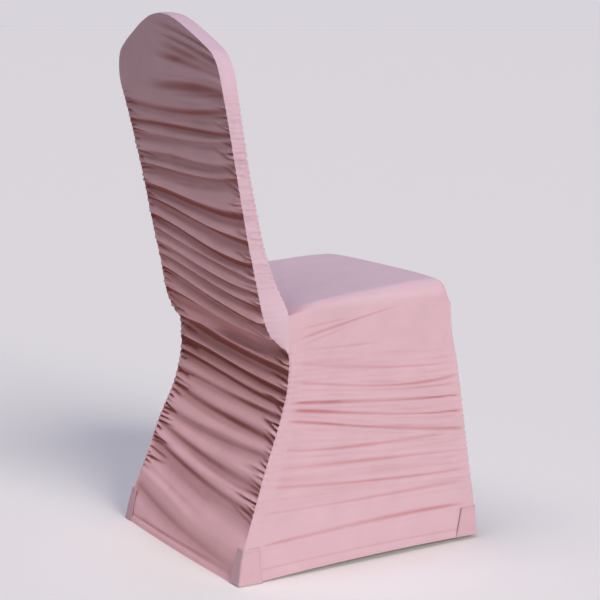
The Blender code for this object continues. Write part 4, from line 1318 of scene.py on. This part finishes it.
def settle(thing: bpy.types.Object, tree: bpy.types.NodeTree,
           inputs: dict[str, Any]) -> bpy.types.Object:
    """Run a Geometry Nodes tree on an object and keep the result as its plain mesh.

    Args:
        thing: The object that the tree works on.
        tree: The tree.
        inputs: Values by socket identifier.

    Returns:
        The same object with its new mesh and no modifier.
    """
    modifier = thing.modifiers.new("nodes", "NODES")
    modifier.node_group = tree
    for identifier, value in inputs.items():
        modifier[identifier] = value
    view = bpy.context.evaluated_depsgraph_get()
    view.update()
    made = bpy.data.meshes.new_from_object(thing.evaluated_get(view))
    thing.modifiers.clear()
    old = thing.data
    thing.data = made
    made.name = thing.name
    bpy.data.meshes.remove(old)
    return thing


@dataclass
class InnerBack:
    """The stretched front face of the backrest, from the rear of the seat to the crown."""

    shape: BackShape
    finish: KnitFinish
    rows: int = 150
    width: float = 0.41
    length: float = 0.62
    cut: float = 0.235
    fine: Wrinkles = Wrinkles(0.48, 0.82, 34, 0.0009, 0.0040)
    pucker: Pucker = Pucker(0.05, 0.0016, 0.0026, 0.018)
    gather_pitch: float = 0.0105

    def build(self) -> bpy.types.Object:
        """Returns the panel."""
        shape, cloth = self.shape, self.shape.cloth
        stations = shape.stations
        heights = np.linspace(shape.skirt_top, shape.shoulder, self.rows + 1)
        wide = section(BACK_SECTIONS, "half_width", heights)
        edge = shape.band_front(np.stack((wide, 0.0 * wide, heights + 1e-6), axis=-1))
        main = np.stack((stations[None, :] * edge[:, :1], np.repeat(edge[:, 1:2], len(stations), 1),
                         np.repeat(heights[:, None], len(stations), 1)), axis=-1)
        crown = np.array([shape.band_front(row) for row in shape.grid[shape.main_rows + 1:]])
        base = np.concatenate((main, crown))
        normals = grid_normals(base, (0.0, -1.0, 0.0))
        along = stations_from_left(stations, base.shape[:2])
        inside = np.broadcast_to(shape.panel_half_width * (1.0 - np.abs(stations)), base.shape[:2])
        height = base[..., 2]
        folds = FoldField(INNER_FOLDS, 17, lower=0.0, fade=0.16, drooping=False)
        relief, _ = folds.placed(along, height)
        relief *= step(inside / 0.020)
        flow = folds.flow(along, height)
        relief += folds.wrinkles(along, flow, self.fine)
        for edge_column, side in ((0, -1.0), (-1, 1.0)):
            near = np.where(np.sign(stations) == side, inside, 1.0)
            lines = folds.gather_lines(0.47, 0.83, self.gather_pitch, 61 + edge_column)
            relief += folds.gathers(near, height, lines, self.pucker, 70 + edge_column)
        relief *= step(inside / 0.004) * step((base[-1:, :, 2] - height) / 0.01)
        relief[0] = 0.0
        outer = base + normals * relief[..., None]
        through = -cloth.thickness * normals
        path = shape.band_path()
        band = shape.band_normals()
        half = len(path) // 2
        for edge_column, part, side in ((0, slice(0, half), -1.0), (-1, slice(half, None), 1.0)):
            order = np.argsort(path[part][:, 2])
            near = np.stack([np.interp(height[:, edge_column], path[part][order, 2],
                                       band[part][order, axis]) for axis in range(3)], axis=-1)
            inward = -shape.normal(height[:, edge_column])
            through[:, edge_column] = cloth.mitre(near, inward)
            ruche = shape.front_ruche(side, height[:, edge_column])
            own = (stations <= 0.0) if side < 0 else (stations > 0.0)
            share = np.exp(-inside / 0.005) * own[None, :]
            outer += (unit(unit(near) + inward) * ruche[:, None])[:, None, :] * share[..., None]
        through[0] = cloth.thickness * np.array((0.0, 1.0, 0.0))
        # Painted shade wherever the cloth sinks below its plain surface.
        tint = np.clip(-relief / 0.010, 0.0, 0.3)
        return cloth.sew("inner_back_cloth", outer, through, tint, self.finish.build())


@dataclass
class SeatAndSides:
    """The seat and both sides in one piece of cloth that hangs over the seat like a saddle cloth."""

    shape: BackShape
    finish: KnitFinish
    width: float = 0.50
    length: float = 1.36
    run: float = 0.39
    fine_folds: Wrinkles = Wrinkles(0.09, 0.37, 90, 0.0010, 0.0021)
    rear_pucker: Pucker = Pucker(0.0, 0.0011, 0.0023, 0.020)
    front_pucker: Pucker = Pucker(0.0, 0.0012, 0.0023, 0.020)
    gather_pitch: float = 0.0088
    bend: float = 0.84
    sink: float = 0.004
    hem_arch: float = 0.005
    front_top: float = 0.440
    edge_arch: float = 0.0135
    edge_zone: float = 0.110
    upper_shade_from: float = 0.446
    bead: float = 0.0020
    edge_shade: float = 0.20
    crown: float = 0.007
    turn_rows: int = 12
    flat_rows: int = 68
    fine: tuple[float, ...] = (0.0, 0.0014, 0.0032, 0.0055, 0.0085, 0.012, 0.016, 0.021, 0.027)
    coarse: float = 0.0066

    def front_edge(self, side: float, height: np.ndarray) -> np.ndarray:
        """Points on the seam at a front corner.

        Args:
            side: -1 for the right corner, 1 for the left.
            height: Heights on the seam.

        Returns:
            The points, with the bumps of the gathered seam.
        """
        x = side * section(FRONT_CORNER, "half_width", height)
        y = section(FRONT_CORNER, "y", height)
        wave = (np.sin(height * math.tau / 0.0102) + 0.8 * np.sin(height * math.tau / 0.0161 + 1.1)
                + 0.6 * np.sin(height * math.tau / 0.0067 + 2.0))
        share = between(height, 0.07, 0.04, 0.36, 0.06)
        out = unit(unit(beside(side)) + unit(FRONT_NORMAL))
        return np.stack((x, y, height), axis=-1) + out * (0.00055 * wave * share)[:, None]

    def rear_edge(self, side: float) -> tuple[np.ndarray, np.ndarray]:
        """The rear seam of a side from hem to seat.

        Args:
            side: -1 for the right side, 1 for the left.

        Returns:
            Its points, and how far each is sewn to the back panel (1) or to the gusset (0).
        """
        shape = self.shape
        edge = 0 if side < 0 else -1
        tip = shape.tip(edge)
        rows = np.arange(shape.main_rows)
        height = shape.grid[rows, edge, 2]
        rows = rows[height < shape.skirt_top - 0.001]
        points = shape.grid[rows, edge] + shape.seam_out(edge)[rows]
        low = points.copy()
        low[:, 0] = side * shape.seat_half_width
        low[:, 1] = shape.waist_y
        sewn = rows < tip
        points = np.where(sewn[:, None], points, low)
        top = np.array([(side * shape.seat_half_width, shape.waist_y, shape.skirt_top)])
        return np.concatenate((points, top)), np.append(sewn, False)

    def stations(self) -> np.ndarray:
        """Stations from the rear seam to the front corner."""
        return spread_stations(self.run, self.fine, self.coarse)

    def side_block(self, side: float) -> tuple[np.ndarray, np.ndarray, np.ndarray]:
        """One side, hem to seat.

        Args:
            side: -1 for the right side, 1 for the left.

        Returns:
            Outer points, ways through the cloth and painted shade.
        """
        shape, cloth = self.shape, self.shape.cloth
        rear, sewn = self.rear_edge(side)
        level = rear[:, 2]
        slant = smooth(column(SIDE_SLANT, "rear"), column(SIDE_SLANT, "front"), level)
        front = self.front_edge(side, slant)
        stations = self.stations()
        t = stations[None, :, None]
        base = rear[:, None] * (1.0 - t) + front[:, None] * t
        hollow = (4.0 * stations * (1.0 - stations))[None, :]
        sink = self.sink * between(level, 0.0, 0.12, shape.skirt_top, 0.12)[:, None]
        base[..., 0] -= side * sink * hollow
        top_share = step(1.0 - (shape.skirt_top - level) / self.edge_zone)[:, None]
        base[..., 2] += (self.hem_arch * hem_share(base[..., 2]) + self.edge_arch * top_share) * hollow
        along = np.broadcast_to(stations[None, :], base.shape[:2])
        height = base[..., 2]
        folds = FoldField.crisp(SIDE_FOLDS, 29 if side < 0 else 31)
        reach = between(stations, 0.0, 0.05, 1.0, 0.04)
        relief, tint = folds.placed(along, height)
        relief *= reach[None, :]
        tint *= 0.8 * reach[None, :]
        flow = folds.flow(along, height)
        relief += folds.wrinkles(along, flow, self.fine_folds) * between(
            height, 0.07, 0.05, 0.40, 0.05)
        from_rear, from_front = self.run * along, self.run * (1.0 - along)
        for near, seed, low, high, pucker in ((from_rear, 81, 0.10, 0.40, self.rear_pucker),
                                              (from_front, 83, 0.06, 0.34, self.front_pucker)):
            lines = folds.gather_lines(low, high, self.gather_pitch, seed)
            relief += folds.gathers(near, height, lines, pucker, seed + 1) * (
                step((height - 0.07) / 0.04))
        relief += self.seam_bead(from_rear, height)
        relief += self.leg_lines(from_rear, from_front, height)
        relief += self.hem(height, hollow)
        relief *= step(from_rear / 0.003) * step(from_front / 0.003)
        relief *= step((shape.skirt_top - rear[:, 2:3]) / 0.02)
        outward = unit(beside(side))
        outer = base + outward * relief[..., None]
        through = np.tile(-cloth.thickness * outward, base.shape[:2] + (1,))
        normal = shape.normal(level)
        rear_way = cloth.mitre(normal, np.tile(outward, (len(level), 1)))
        through[:, 0] = np.where(sewn[:, None], rear_way, through[:, 0])
        through[:, -1] = cloth.mitre(outward[None], unit(FRONT_NORMAL)[None])
        through[0, :, 2] = 0.0
        # Painted shade in the creases and wherever the cloth sinks.
        return outer, through, np.clip(tint + np.clip(-relief / 0.006, 0.0, 0.25), 0.0, 1.0)

    def seam_bead(self, rear: np.ndarray, height: np.ndarray) -> np.ndarray:
        """Relief of the bumpy bead of seam allowance beside the rear seam.

        Args:
            rear: Distance from the rear seam.
            height: Heights of the points.

        Returns:
            Heights above the plain surface, in metres.
        """
        turn = height * math.tau
        bumps = 0.62 + 0.38 * np.sin(turn / 0.0094) * np.sin(turn / 0.031 + 0.7)
        ditch = 0.5 * self.bead * bell((rear - 0.0088) / 0.0022)
        bead = self.bead * bell((rear - 0.0042) / 0.0024) - ditch
        return bead * bumps * between(height, 0.05, 0.04, 0.40, 0.04)

    def leg_lines(self, rear: np.ndarray, front: np.ndarray, height: np.ndarray) -> np.ndarray:
        """Relief where the cloth lies on the legs at both ends and hangs free between them.

        Args:
            rear: Distance from the rear seam.
            front: Distance from the front corner.
            height: Heights of the points.

        Returns:
            Heights above the plain surface, in metres.
        """
        over_rear = step((0.034 - rear) / 0.012)
        over_front = step((0.024 - front) / 0.010)
        share = between(height, 0.02, 0.05, 0.42, 0.05)
        return 0.0016 * np.maximum(over_rear, over_front) * share

    def hem(self, height: np.ndarray, hollow: np.ndarray) -> np.ndarray:
        """Relief of the turned hem at the foot of a side."""
        above = height - self.hem_arch * hollow * 0.9
        return 0.0006 * bell((above - 0.005) / 0.005) - 0.0006 * bell((above - 0.0135) / 0.0022)

    def seat_block(self) -> tuple[np.ndarray, np.ndarray, np.ndarray]:
        """The seat, right edge to left edge.

        Returns:
            Outer points, ways through the cloth and painted shade.
        """
        shape, cloth = self.shape, self.shape.cloth
        stations = self.stations()
        keys = column(SEAT_SECTIONS, "station")
        height = smooth(keys, column(SEAT_SECTIONS, "height"), stations)
        roll = smooth(keys, column(SEAT_SECTIONS, "roll"), stations)
        edge_height = (shape.skirt_top + (self.front_top - shape.skirt_top) * stations
                       + self.edge_arch * 4.0 * stations * (1.0 - stations))
        bulge = smooth(keys, column(SEAT_SECTIONS, "bulge"), stations)
        edge_y = shape.waist_y + (FRONT_CORNER[-1].y - shape.waist_y) * stations
        turning = np.linspace(0.0, 1.0, self.turn_rows + 1)
        bend = self.bend
        right = np.concatenate((-1.0 + (1.0 - bend) * turning[:-1],
                                np.linspace(-bend, bend, self.flat_rows + 1),
                                1.0 - (1.0 - bend) * turning[-2::-1]))
        part = right[:, None]
        angle = np.clip((1.0 - np.abs(part)) / (1.0 - bend), 0.0, 1.0) * math.pi / 2.0
        edge_x = (shape.seat_half_width
                  + (FRONT_CORNER[-1].half_width - shape.seat_half_width) * stations)[None, :]
        flat_x = part * edge_x
        rolled = np.where(np.abs(part) > bend,
                          np.sign(part) * (edge_x - roll * (1.0 - np.cos(angle))),
                          (edge_x - roll[None, :]) * part / bend)
        rounded = between(stations, 0.0, 0.16, 1.0, 0.05)[None, :]
        x = flat_x + (rolled - flat_x) * rounded
        dome = (self.crown * (1.0 - part ** 4) * step(stations / 0.2) * step((1.0 - stations) / 0.06))
        z = edge_height + (height - edge_height + dome) * np.sin(angle) ** 0.85
        outer = np.stack((x, edge_y - bulge * np.sin(angle), z), axis=-1)
        normals = grid_normals(outer, (0.0, 0.0, 1.0))
        through = -cloth.thickness * normals
        through[:, 0] = (0.0, 0.0, -cloth.thickness)
        through[:, -1] = -cloth.thickness * unit(FRONT_NORMAL)
        # Painted shade along the seat's rolled edges, darkening their highlight.
        shade = self.edge_shade * bell((np.abs(part) - 0.93) / 0.06) * np.ones(x.shape)
        return outer, through, shade

    def build(self) -> bpy.types.Object:
        """Returns the piece."""
        cloth = self.shape.cloth
        right = self.side_block(-1.0)
        left = self.side_block(1.0)
        seat = self.seat_block()
        outer, through, fold = (np.concatenate((a[:-1], b, c[-2::-1]))
                                for a, b, c in zip(right, seat, left))
        corner = len(right[0]) - 1
        for row, side in ((corner, -1.0), (corner + len(seat[0]) - 1, 1.0)):
            through[row] = -cloth.thickness * unit((side, 0.0, 1.0))
            through[row, 0] = (-side * cloth.thickness, 0.0, -cloth.thickness)
            through[row, -1] = cloth.mitre(beside(side), FRONT_NORMAL)
        # Painted light: the seat's top takes the upper colour, a paler, cooler pink painted for the
        # cool light from above; the sides keep the lower colour.
        upper_shade = step((outer[..., 2] - self.upper_shade_from) / 0.02)
        return cloth.sew("seat_and_sides_cloth", outer, through, fold, self.finish.build(),
                         {"stretch": upper_shade})


@dataclass
class FrontSkirt:
    """The skirt below the seat's front edge."""

    saddle: SeatAndSides
    finish: KnitFinish
    width: float = 0.43
    length: float = 0.50
    coarse: float = 0.0066
    fine: Wrinkles = Wrinkles(0.09, 0.40, 80, 0.0010, 0.0022)
    pucker: Pucker = Pucker(0.0, 0.0012, 0.0023, 0.020)
    gather_pitch: float = 0.0092

    def build(self) -> bpy.types.Object:
        """Returns the skirt."""
        cloth = self.saddle.shape.cloth
        rear, _ = self.saddle.rear_edge(1.0)
        heights = smooth(column(SIDE_SLANT, "rear"), column(SIDE_SLANT, "front"), rear[:, 2])
        edge = self.saddle.front_edge(1.0, heights)
        across = 2.0 * spread_stations(self.width, self.saddle.fine, self.coarse) - 1.0
        base = edge[:, None] * np.stack((across, np.ones_like(across), np.ones_like(across)), -1)
        hollow = (1.0 - across ** 2)[None, :]
        sink = self.saddle.sink * step(heights / 0.12) * step((self.saddle.front_top - heights) / 0.12)
        base[..., 1] += sink[:, None] * hollow
        base[..., 2] += self.saddle.hem_arch * hollow * hem_share(heights)[:, None]
        along = stations_from_left(across, base.shape[:2])
        height = base[..., 2]
        inside = self.width / 2.0 * (1.0 - np.abs(across))[None, :]
        folds = FoldField.crisp(SKIRT_FOLDS, 37)
        relief, tint = folds.placed(along, height)
        relief *= step(inside / 0.012)
        flow = folds.flow(along, height)
        relief += folds.wrinkles(along, flow, self.fine) * between(height, 0.07, 0.05, 0.42, 0.05)
        for near, seed in ((self.width * along, 91), (self.width * (1.0 - along), 93)):
            lines = folds.gather_lines(0.08, 0.40, self.gather_pitch, seed)
            relief += folds.gathers(near, height, lines, self.pucker, seed + 1) * (
                step((height - 0.07) / 0.04))
        relief += self.saddle.hem(height, hollow)
        relief *= step(inside / 0.003)
        relief[-1] = 0.0
        outward = unit(FRONT_NORMAL)
        outer = base + outward * relief[..., None]
        through = np.tile(-cloth.thickness * outward, base.shape[:2] + (1,))
        through[:, 0] = cloth.mitre(beside(-1.0), FRONT_NORMAL)
        through[:, -1] = cloth.mitre(SIDE_NORMAL, FRONT_NORMAL)
        through[0, :, 2] = 0.0
        # Painted shade in the creases and wherever the cloth sinks.
        tint = np.clip(0.8 * tint + np.clip(-relief / 0.006, 0.0, 0.25), 0.0, 1.0)
        return cloth.sew("front_skirt_cloth", outer, through, tint, self.finish.build())


@dataclass
class FootPocket:
    """A patch folded round one foot and sewn on over the panels at the hem's corner."""

    shape: BackShape
    saddle: SeatAndSides
    finish: KnitFinish
    side: Side
    rear: bool
    width: float = 0.066
    length: float = 0.056
    height: float = 0.055
    bottom: float = 0.0012
    side_reach: tuple[float, float] = (0.045, 0.030)
    end_reach: tuple[float, float] = (0.028, 0.016)
    clearance: float = 0.0005
    thickness: float = 0.0018
    rows: int = 26

    def name(self) -> str:
        """The node's name."""
        return f"foot_pocket_{'rear' if self.rear else 'front'}_{self.side.name.lower()}"

    def grid(self) -> tuple[np.ndarray, np.ndarray]:
        """Outer points and ways through of the patch, hem to top."""
        shape = self.shape
        rows, ways = [], []
        side = self.side.value
        lift = self.clearance + self.thickness
        side_face = unit(beside(side))
        for part in np.linspace(0.0, 1.0, self.rows + 1):
            height = self.bottom + part * (self.height - self.bottom)
            side_run = self.side_reach[0] + (self.side_reach[1] - self.side_reach[0]) * part
            end_run = self.end_reach[0] + (self.end_reach[1] - self.end_reach[0]) * part
            if self.rear:
                corner = np.array((side * section(BACK_SECTIONS, "half_width", height),
                                   section(BACK_SECTIONS, "y", height),
                                   height - shape.hem_drop * hem_share(height)))
                end_face = shape.normal(height)
                bow = float(section(BACK_SECTIONS, "bow", height))
            else:
                corner = np.array((side * section(FRONT_CORNER, "half_width", height),
                                   section(FRONT_CORNER, "y", height), height))
                end_face = unit(FRONT_NORMAL)
                bow = 0.0
            along_side = np.array((0.0, -1.0 if self.rear else 1.0, 0.0))
            along_end = np.array((-side, 0.0, 0.0))
            row, way = [], []
            edge = 0.0006 * bell((part - 1.0) / 0.10) + 0.0004 * bell((part - 0.5) / 0.4)
            for share in np.linspace(1.0, 0.08, 14):
                rise = lift + edge + 0.0005 * bell((share - 1.0) / 0.10)
                row.append(corner + along_side * side_run * share + side_face * rise)
                way.append(-side_face * self.thickness)
            for turn in np.linspace(0.0, 1.0, 7)[1:-1]:
                face = unit(side_face * (1.0 - turn) + end_face * turn)
                start = corner + along_side * side_run * 0.08 + side_face * (lift + edge)
                finish = corner + along_end * end_run * 0.1 + end_face * (lift + edge)
                peak = corner + (side_face + end_face) * (lift + edge)
                row.append((1.0 - turn) ** 2 * start + 2.0 * turn * (1.0 - turn) * peak
                           + turn ** 2 * finish)
                way.append(-face * self.thickness)
            for share in np.linspace(0.1, 1.0, 10):
                middle = 1.0 - end_run * share / abs(corner[0])
                rise = (lift + edge + max(0.0, bow * (1.0 - middle ** 2))
                        + 0.0005 * bell((share - 1.0) / 0.12))
                row.append(corner + along_end * end_run * share + end_face * rise)
                way.append(-end_face * self.thickness)
            rows.append(row)
            ways.append(way)
        ways = np.array(ways)
        ways[..., 2] = 0.0
        return np.array(rows), ways

    def build(self) -> bpy.types.Object:
        """Returns the pocket."""
        outer, through = self.grid()
        fold = np.zeros(outer.shape[:2])
        return self.shape.cloth.sew(self.name() + "_cloth", outer, through, fold, self.finish.build())


@dataclass
class Stitching:
    """Rows of lockstitch that hold hems, band and pockets."""

    cloth: Cloth
    finish: ThreadFinish
    spacing: float = 0.0034
    length: float = 0.0026
    radius: float = 0.00030

    def build(self, name: str, rows: Sequence[np.ndarray]) -> bpy.types.Object:
        """Stitches along rows of points.

        Args:
            name: Name of the piece.
            rows: Lines of points on the cloth.

        Returns:
            All the stitches as one plain mesh.
        """
        points, edges = [], []
        for row in rows:
            first = len(points)
            points += (row + (0.0, 0.0, self.cloth.lift)).tolist()
            edges += [(first + place, first + place + 1) for place in range(len(row) - 1)]
        mesh = bpy.data.meshes.new(name)
        mesh.from_pydata(points, edges, [])
        tree, given, inputs = node_group(name + "_lockstitch", {
            "Stitch Spacing": self.spacing, "Half Length": self.length / 2.0,
            "Thread Radius": self.radius}, self.finish.build())
        curve = add_node(tree, "GeometryNodeMeshToCurve", {}, {0: given.outputs["Geometry"]})
        even = add_node(tree, "GeometryNodeResampleCurve", {"mode": "LENGTH"}, {
            "Curve": curve.outputs[0], "Length": given.outputs["Stitch Spacing"]})
        bead = add_node(tree, "GeometryNodeMeshIcoSphere", {}, {"Radius": 1.0, "Subdivisions": 1})
        size = add_node(tree, "ShaderNodeCombineXYZ", {}, {
            0: given.outputs["Thread Radius"], 1: given.outputs["Thread Radius"],
            2: given.outputs["Half Length"]})
        stitch = add_node(tree, "GeometryNodeTransform", {}, {
            "Geometry": bead.outputs[0], "Scale": size.outputs[0]})
        tangent = add_node(tree, "GeometryNodeInputTangent")
        turn = add_node(tree, "FunctionNodeAlignRotationToVector", {"axis": "Z"}, {
            "Vector": tangent.outputs[0]})
        laid = add_node(tree, "GeometryNodeInstanceOnPoints", {}, {
            "Points": even.outputs[0], "Instance": stitch.outputs[0], "Rotation": turn.outputs[0]})
        real = add_node(tree, "GeometryNodeRealizeInstances", {}, {0: laid.outputs[0]})
        round_off = add_node(tree, "GeometryNodeSetShadeSmooth", {}, {"Geometry": real.outputs[0]})
        finish_group(tree, given, round_off.outputs[0])
        return settle(new_object(name, mesh), tree, inputs)


@dataclass
class Studio:
    """Pale floor, soft studio lights and the camera."""

    floor_half: float = 220.0
    floor_colour: str = "#f3eee6"
    air_colour: str = "#faf5fd"
    focal: float = 94.24
    place: tuple[float, float, float] = (-2.43151, 1.47587, 0.94387)
    yaw: float = -31.53123
    pitch: float = -10.08608
    roll: float = 0.1445
    backdrop: float = 0.72
    air: float = 0.0
    side: float = 2.62
    top: float = 0.98
    zenith: float = 0.95

    def camera(self) -> bpy.types.Object:
        """Returns the scene's camera."""
        data = bpy.data.cameras.new("camera")
        data.lens = self.focal
        data.sensor_width = 36.0
        data.clip_end = 400.0
        yaw, pitch, roll = (math.radians(angle) for angle in (self.yaw, self.pitch, self.roll))
        ahead = np.array((math.cos(pitch) * math.cos(yaw), math.cos(pitch) * math.sin(yaw),
                          math.sin(pitch)))
        right = unit(np.cross(ahead, (0.0, 0.0, 1.0)))
        up = np.cross(right, ahead)
        turned_right = math.cos(roll) * right + math.sin(roll) * up
        turned_up = math.cos(roll) * up - math.sin(roll) * right
        thing = new_object("camera", data)
        stand(thing, (turned_right, turned_up, -ahead), self.place)
        bpy.context.scene.camera = thing
        return thing

    def floor(self) -> bpy.types.Object:
        """Returns the pale floor."""
        half = self.floor_half
        mesh = bpy.data.meshes.new("floor")
        corners = [(-half, -half, 0.0), (half, -half, 0.0), (half, half, 0.0), (-half, half, 0.0)]
        mesh.from_pydata(corners, [], [(0, 1, 2, 3)])
        material, _, _ = new_material("floor_painted_board", {
            "Base Color": linear(self.floor_colour), "Roughness": 0.9, "Specular IOR Level": 0.1})
        mesh.materials.append(material)
        return new_object("floor", mesh)

    def lamp(self, name: str, place: Sequence[float], spread: float, strength: float,
             colour: str) -> None:
        """A large, far softbox, drawn as a sun with a wide disc.

        Args:
            name: The lamp's name.
            place: The direction that it shines from.
            spread: Angle that the softbox fills, in degrees.
            strength: Its strength in watts a square metre.
            colour: Its colour as an sRGB hex value.
        """
        data = bpy.data.lights.new(name, "SUN")
        data.angle = math.radians(spread)
        data.energy = strength
        data.color = linear(colour)[:3]
        back = unit(np.array(place))
        side = unit(np.cross((0.0, 0.001, 1.0), back))
        stand(new_object(name, data), (side, np.cross(back, side), back), place)

    def build(self) -> None:
        """Set up the studio."""
        self.floor()
        world = bpy.data.worlds.new("studio_air")
        world.use_nodes = True
        tree = world.node_tree
        # The backdrop glows along the horizon, where it meets the floor, and is dim above.
        ahead = add_node(tree, "ShaderNodeTexCoord")
        parts = add_node(tree, "ShaderNodeSeparateXYZ", {}, {0: ahead.outputs["Generated"]})
        glow = add_node(tree, "ShaderNodeMapRange", {"interpolation_type": "SMOOTHSTEP"}, {
            "Value": parts.outputs["Z"], "From Min": 0.03, "From Max": 0.14,
            "To Min": self.backdrop, "To Max": self.air})
        air = tree.nodes["Background"]
        air.inputs["Color"].default_value = linear(self.air_colour)
        tree.links.new(glow.outputs["Result"], air.inputs["Strength"])
        bpy.context.scene.world = world
        self.lamp("side_softbox", (-3.2, -0.2, 1.5), 30.0, self.side, "#fffbf9")
        self.lamp("overhead_softbox", (0.1, 0.4, 1.0), 40.0, self.top, "#fffafa")
        self.lamp("zenith_softbox", (0.05, 0.06, 1.0), 30.0, self.zenith, "#b9c9ff")
        bpy.context.scene.view_settings.view_transform = "Standard"


@dataclass
class ChairCover:
    """The whole cover."""

    cloth: Cloth = field(default_factory=Cloth)
    stitch_level: float = 0.0135
    stitch_out: float = 0.0002
    band_stitch_from: float = 0.47

    def stitch_rows(self, shape: BackShape, saddle: SeatAndSides, band: BackBand,
                    pockets: Sequence[FootPocket]) -> dict[str, list[np.ndarray]]:
        """Lines of stitching, by piece.

        Args:
            shape: The shared back shape.
            saddle: The seat and sides.
            band: The boxing band.
            pockets: The foot pockets.

        Returns:
            Rows of points for each group of stitches.
        """
        out, level = self.stitch_out, self.stitch_level
        along = np.linspace(-0.93, 0.93, 120)
        half = float(section(BACK_SECTIONS, "half_width", level))
        bow = float(section(BACK_SECTIONS, "bow", level))
        y = float(section(BACK_SECTIONS, "y", level)) - 0.0012
        hem = [np.stack((along * half, y + bow * (1.0 - along ** 2) + out,
                         np.full_like(along, level - shape.hem_drop)), axis=-1)]
        path = shape.band_path()
        normals = shape.band_normals()
        front = shape.band_front(path)
        place = band.stitch_place
        line = path * (1.0 - place) + front * place + normals * (
            band.swell * math.sin(math.pi * place) - band.stitch_dip + 2.0 * out)
        for side in (-1.0, 1.0):
            outer = saddle.side_block(side)[0]
            row = int(np.argmin(np.abs(outer[:, 0, 2] - level)))
            hem.append(outer[row] + out * unit(beside(side)))
        corners = [saddle.front_edge(side, np.array([level]))[0] for side in (1.0, -1.0)]
        share = np.linspace(0.02, 0.98, 120)[:, None]
        skirt = corners[0] * (1.0 - share) + corners[1] * share + out * unit(FRONT_NORMAL)
        skirt[:, 2] += saddle.hem_arch * 4.0 * (share * (1.0 - share))[:, 0] * hem_share(level)
        hem.append(skirt)
        patches = []
        for pocket in pockets:
            outer, through = pocket.grid()
            outer = outer - out * unit(through)
            patches += [outer[-3, 1:-1], outer[:-2, 1], outer[:-2, -2]]
        return {"hem_stitches": hem, "band_stitches": [line[path[:, 2] > self.band_stitch_from]],
                "pocket_stitches": patches}

    def build(self) -> None:
        """Build every piece, put each on the body in place of its CAD node, and add the stitching."""
        shape = BackShape(self.cloth)
        # One knit throughout; its colours differ by piece as painted light and shade: the back panel
        # is painted paler at the hem, darker at the crown and browner in its folds than the rest.
        lower_shade, upper_shade, valley = "#ccaab2", "#d3b9c0", "#b86a6e"
        back = BackPanel(shape, KnitFinish("knit_jersey_back", "#e9b8bc", "#ae8e95", "#8c4a42"))
        band = BackBand(shape, KnitFinish("knit_jersey_band", "#cfb3bd", "#cbaeb9", valley))
        inner = InnerBack(shape, KnitFinish("knit_jersey_inner", lower_shade, upper_shade, valley))
        saddle = SeatAndSides(shape, KnitFinish("knit_jersey_seat", lower_shade, upper_shade, valley))
        skirt = FrontSkirt(saddle, KnitFinish("knit_jersey_skirt", lower_shade, upper_shade, valley))
        pieces = (
            (back, "back_panel", "knit_back", Held.GATHERED, ["back_band"], back.cut),
            (band, "back_band", "knit_band", Held.GATHERED, ["inner_back"], None),
            (inner, "inner_back", "knit_inner", Held.STRETCHED, ["back_band"], inner.cut),
            (saddle, "seat_and_sides", "knit_seat", Held.DRAPED, ["back_panel"], None),
            (skirt, "front_skirt", "knit_skirt", Held.HUNG, ["seat_and_sides"], None),
        )
        for maker, node, slot, held, rests, area in pieces:
            piece = maker.build()
            self.register(piece, node)
        patch = KnitFinish("knit_jersey_pocket", "#c8a5ad", upper_shade, valley)
        pockets = [FootPocket(shape, saddle, patch, side, rear)
                   for side in Side for rear in (True, False)]
        for pocket in pockets:
            piece = pocket.build()
            self.register(piece, pocket.name())
        stitching = Stitching(self.cloth, ThreadFinish())
        for name, rows in self.stitch_rows(shape, saddle, band, pockets).items():
            piece = stitching.build(name, rows)
            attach(piece, BODY)
            LOG.info("%s: %d stitched faces", name, len(piece.data.polygons))

    def register(self, piece: bpy.types.Object, node: str) -> None:
        """Put a piece on the body in place of its CAD node.

        Args:
            piece: The dressed piece.
            node: The CAD node that it stands for.
        """
        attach(piece, BODY)
        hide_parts(node)
        LOG.info("%s: %d faces", node, len(piece.data.polygons))


def main() -> None:
    """Build the cover and the studio."""
    logging.basicConfig(level=logging.INFO, format="%(message)s")
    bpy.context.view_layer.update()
    ChairCover().build()
    studio = Studio()
    studio.camera()
    studio.build()
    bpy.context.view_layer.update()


if __name__ == "__main__":
    main()
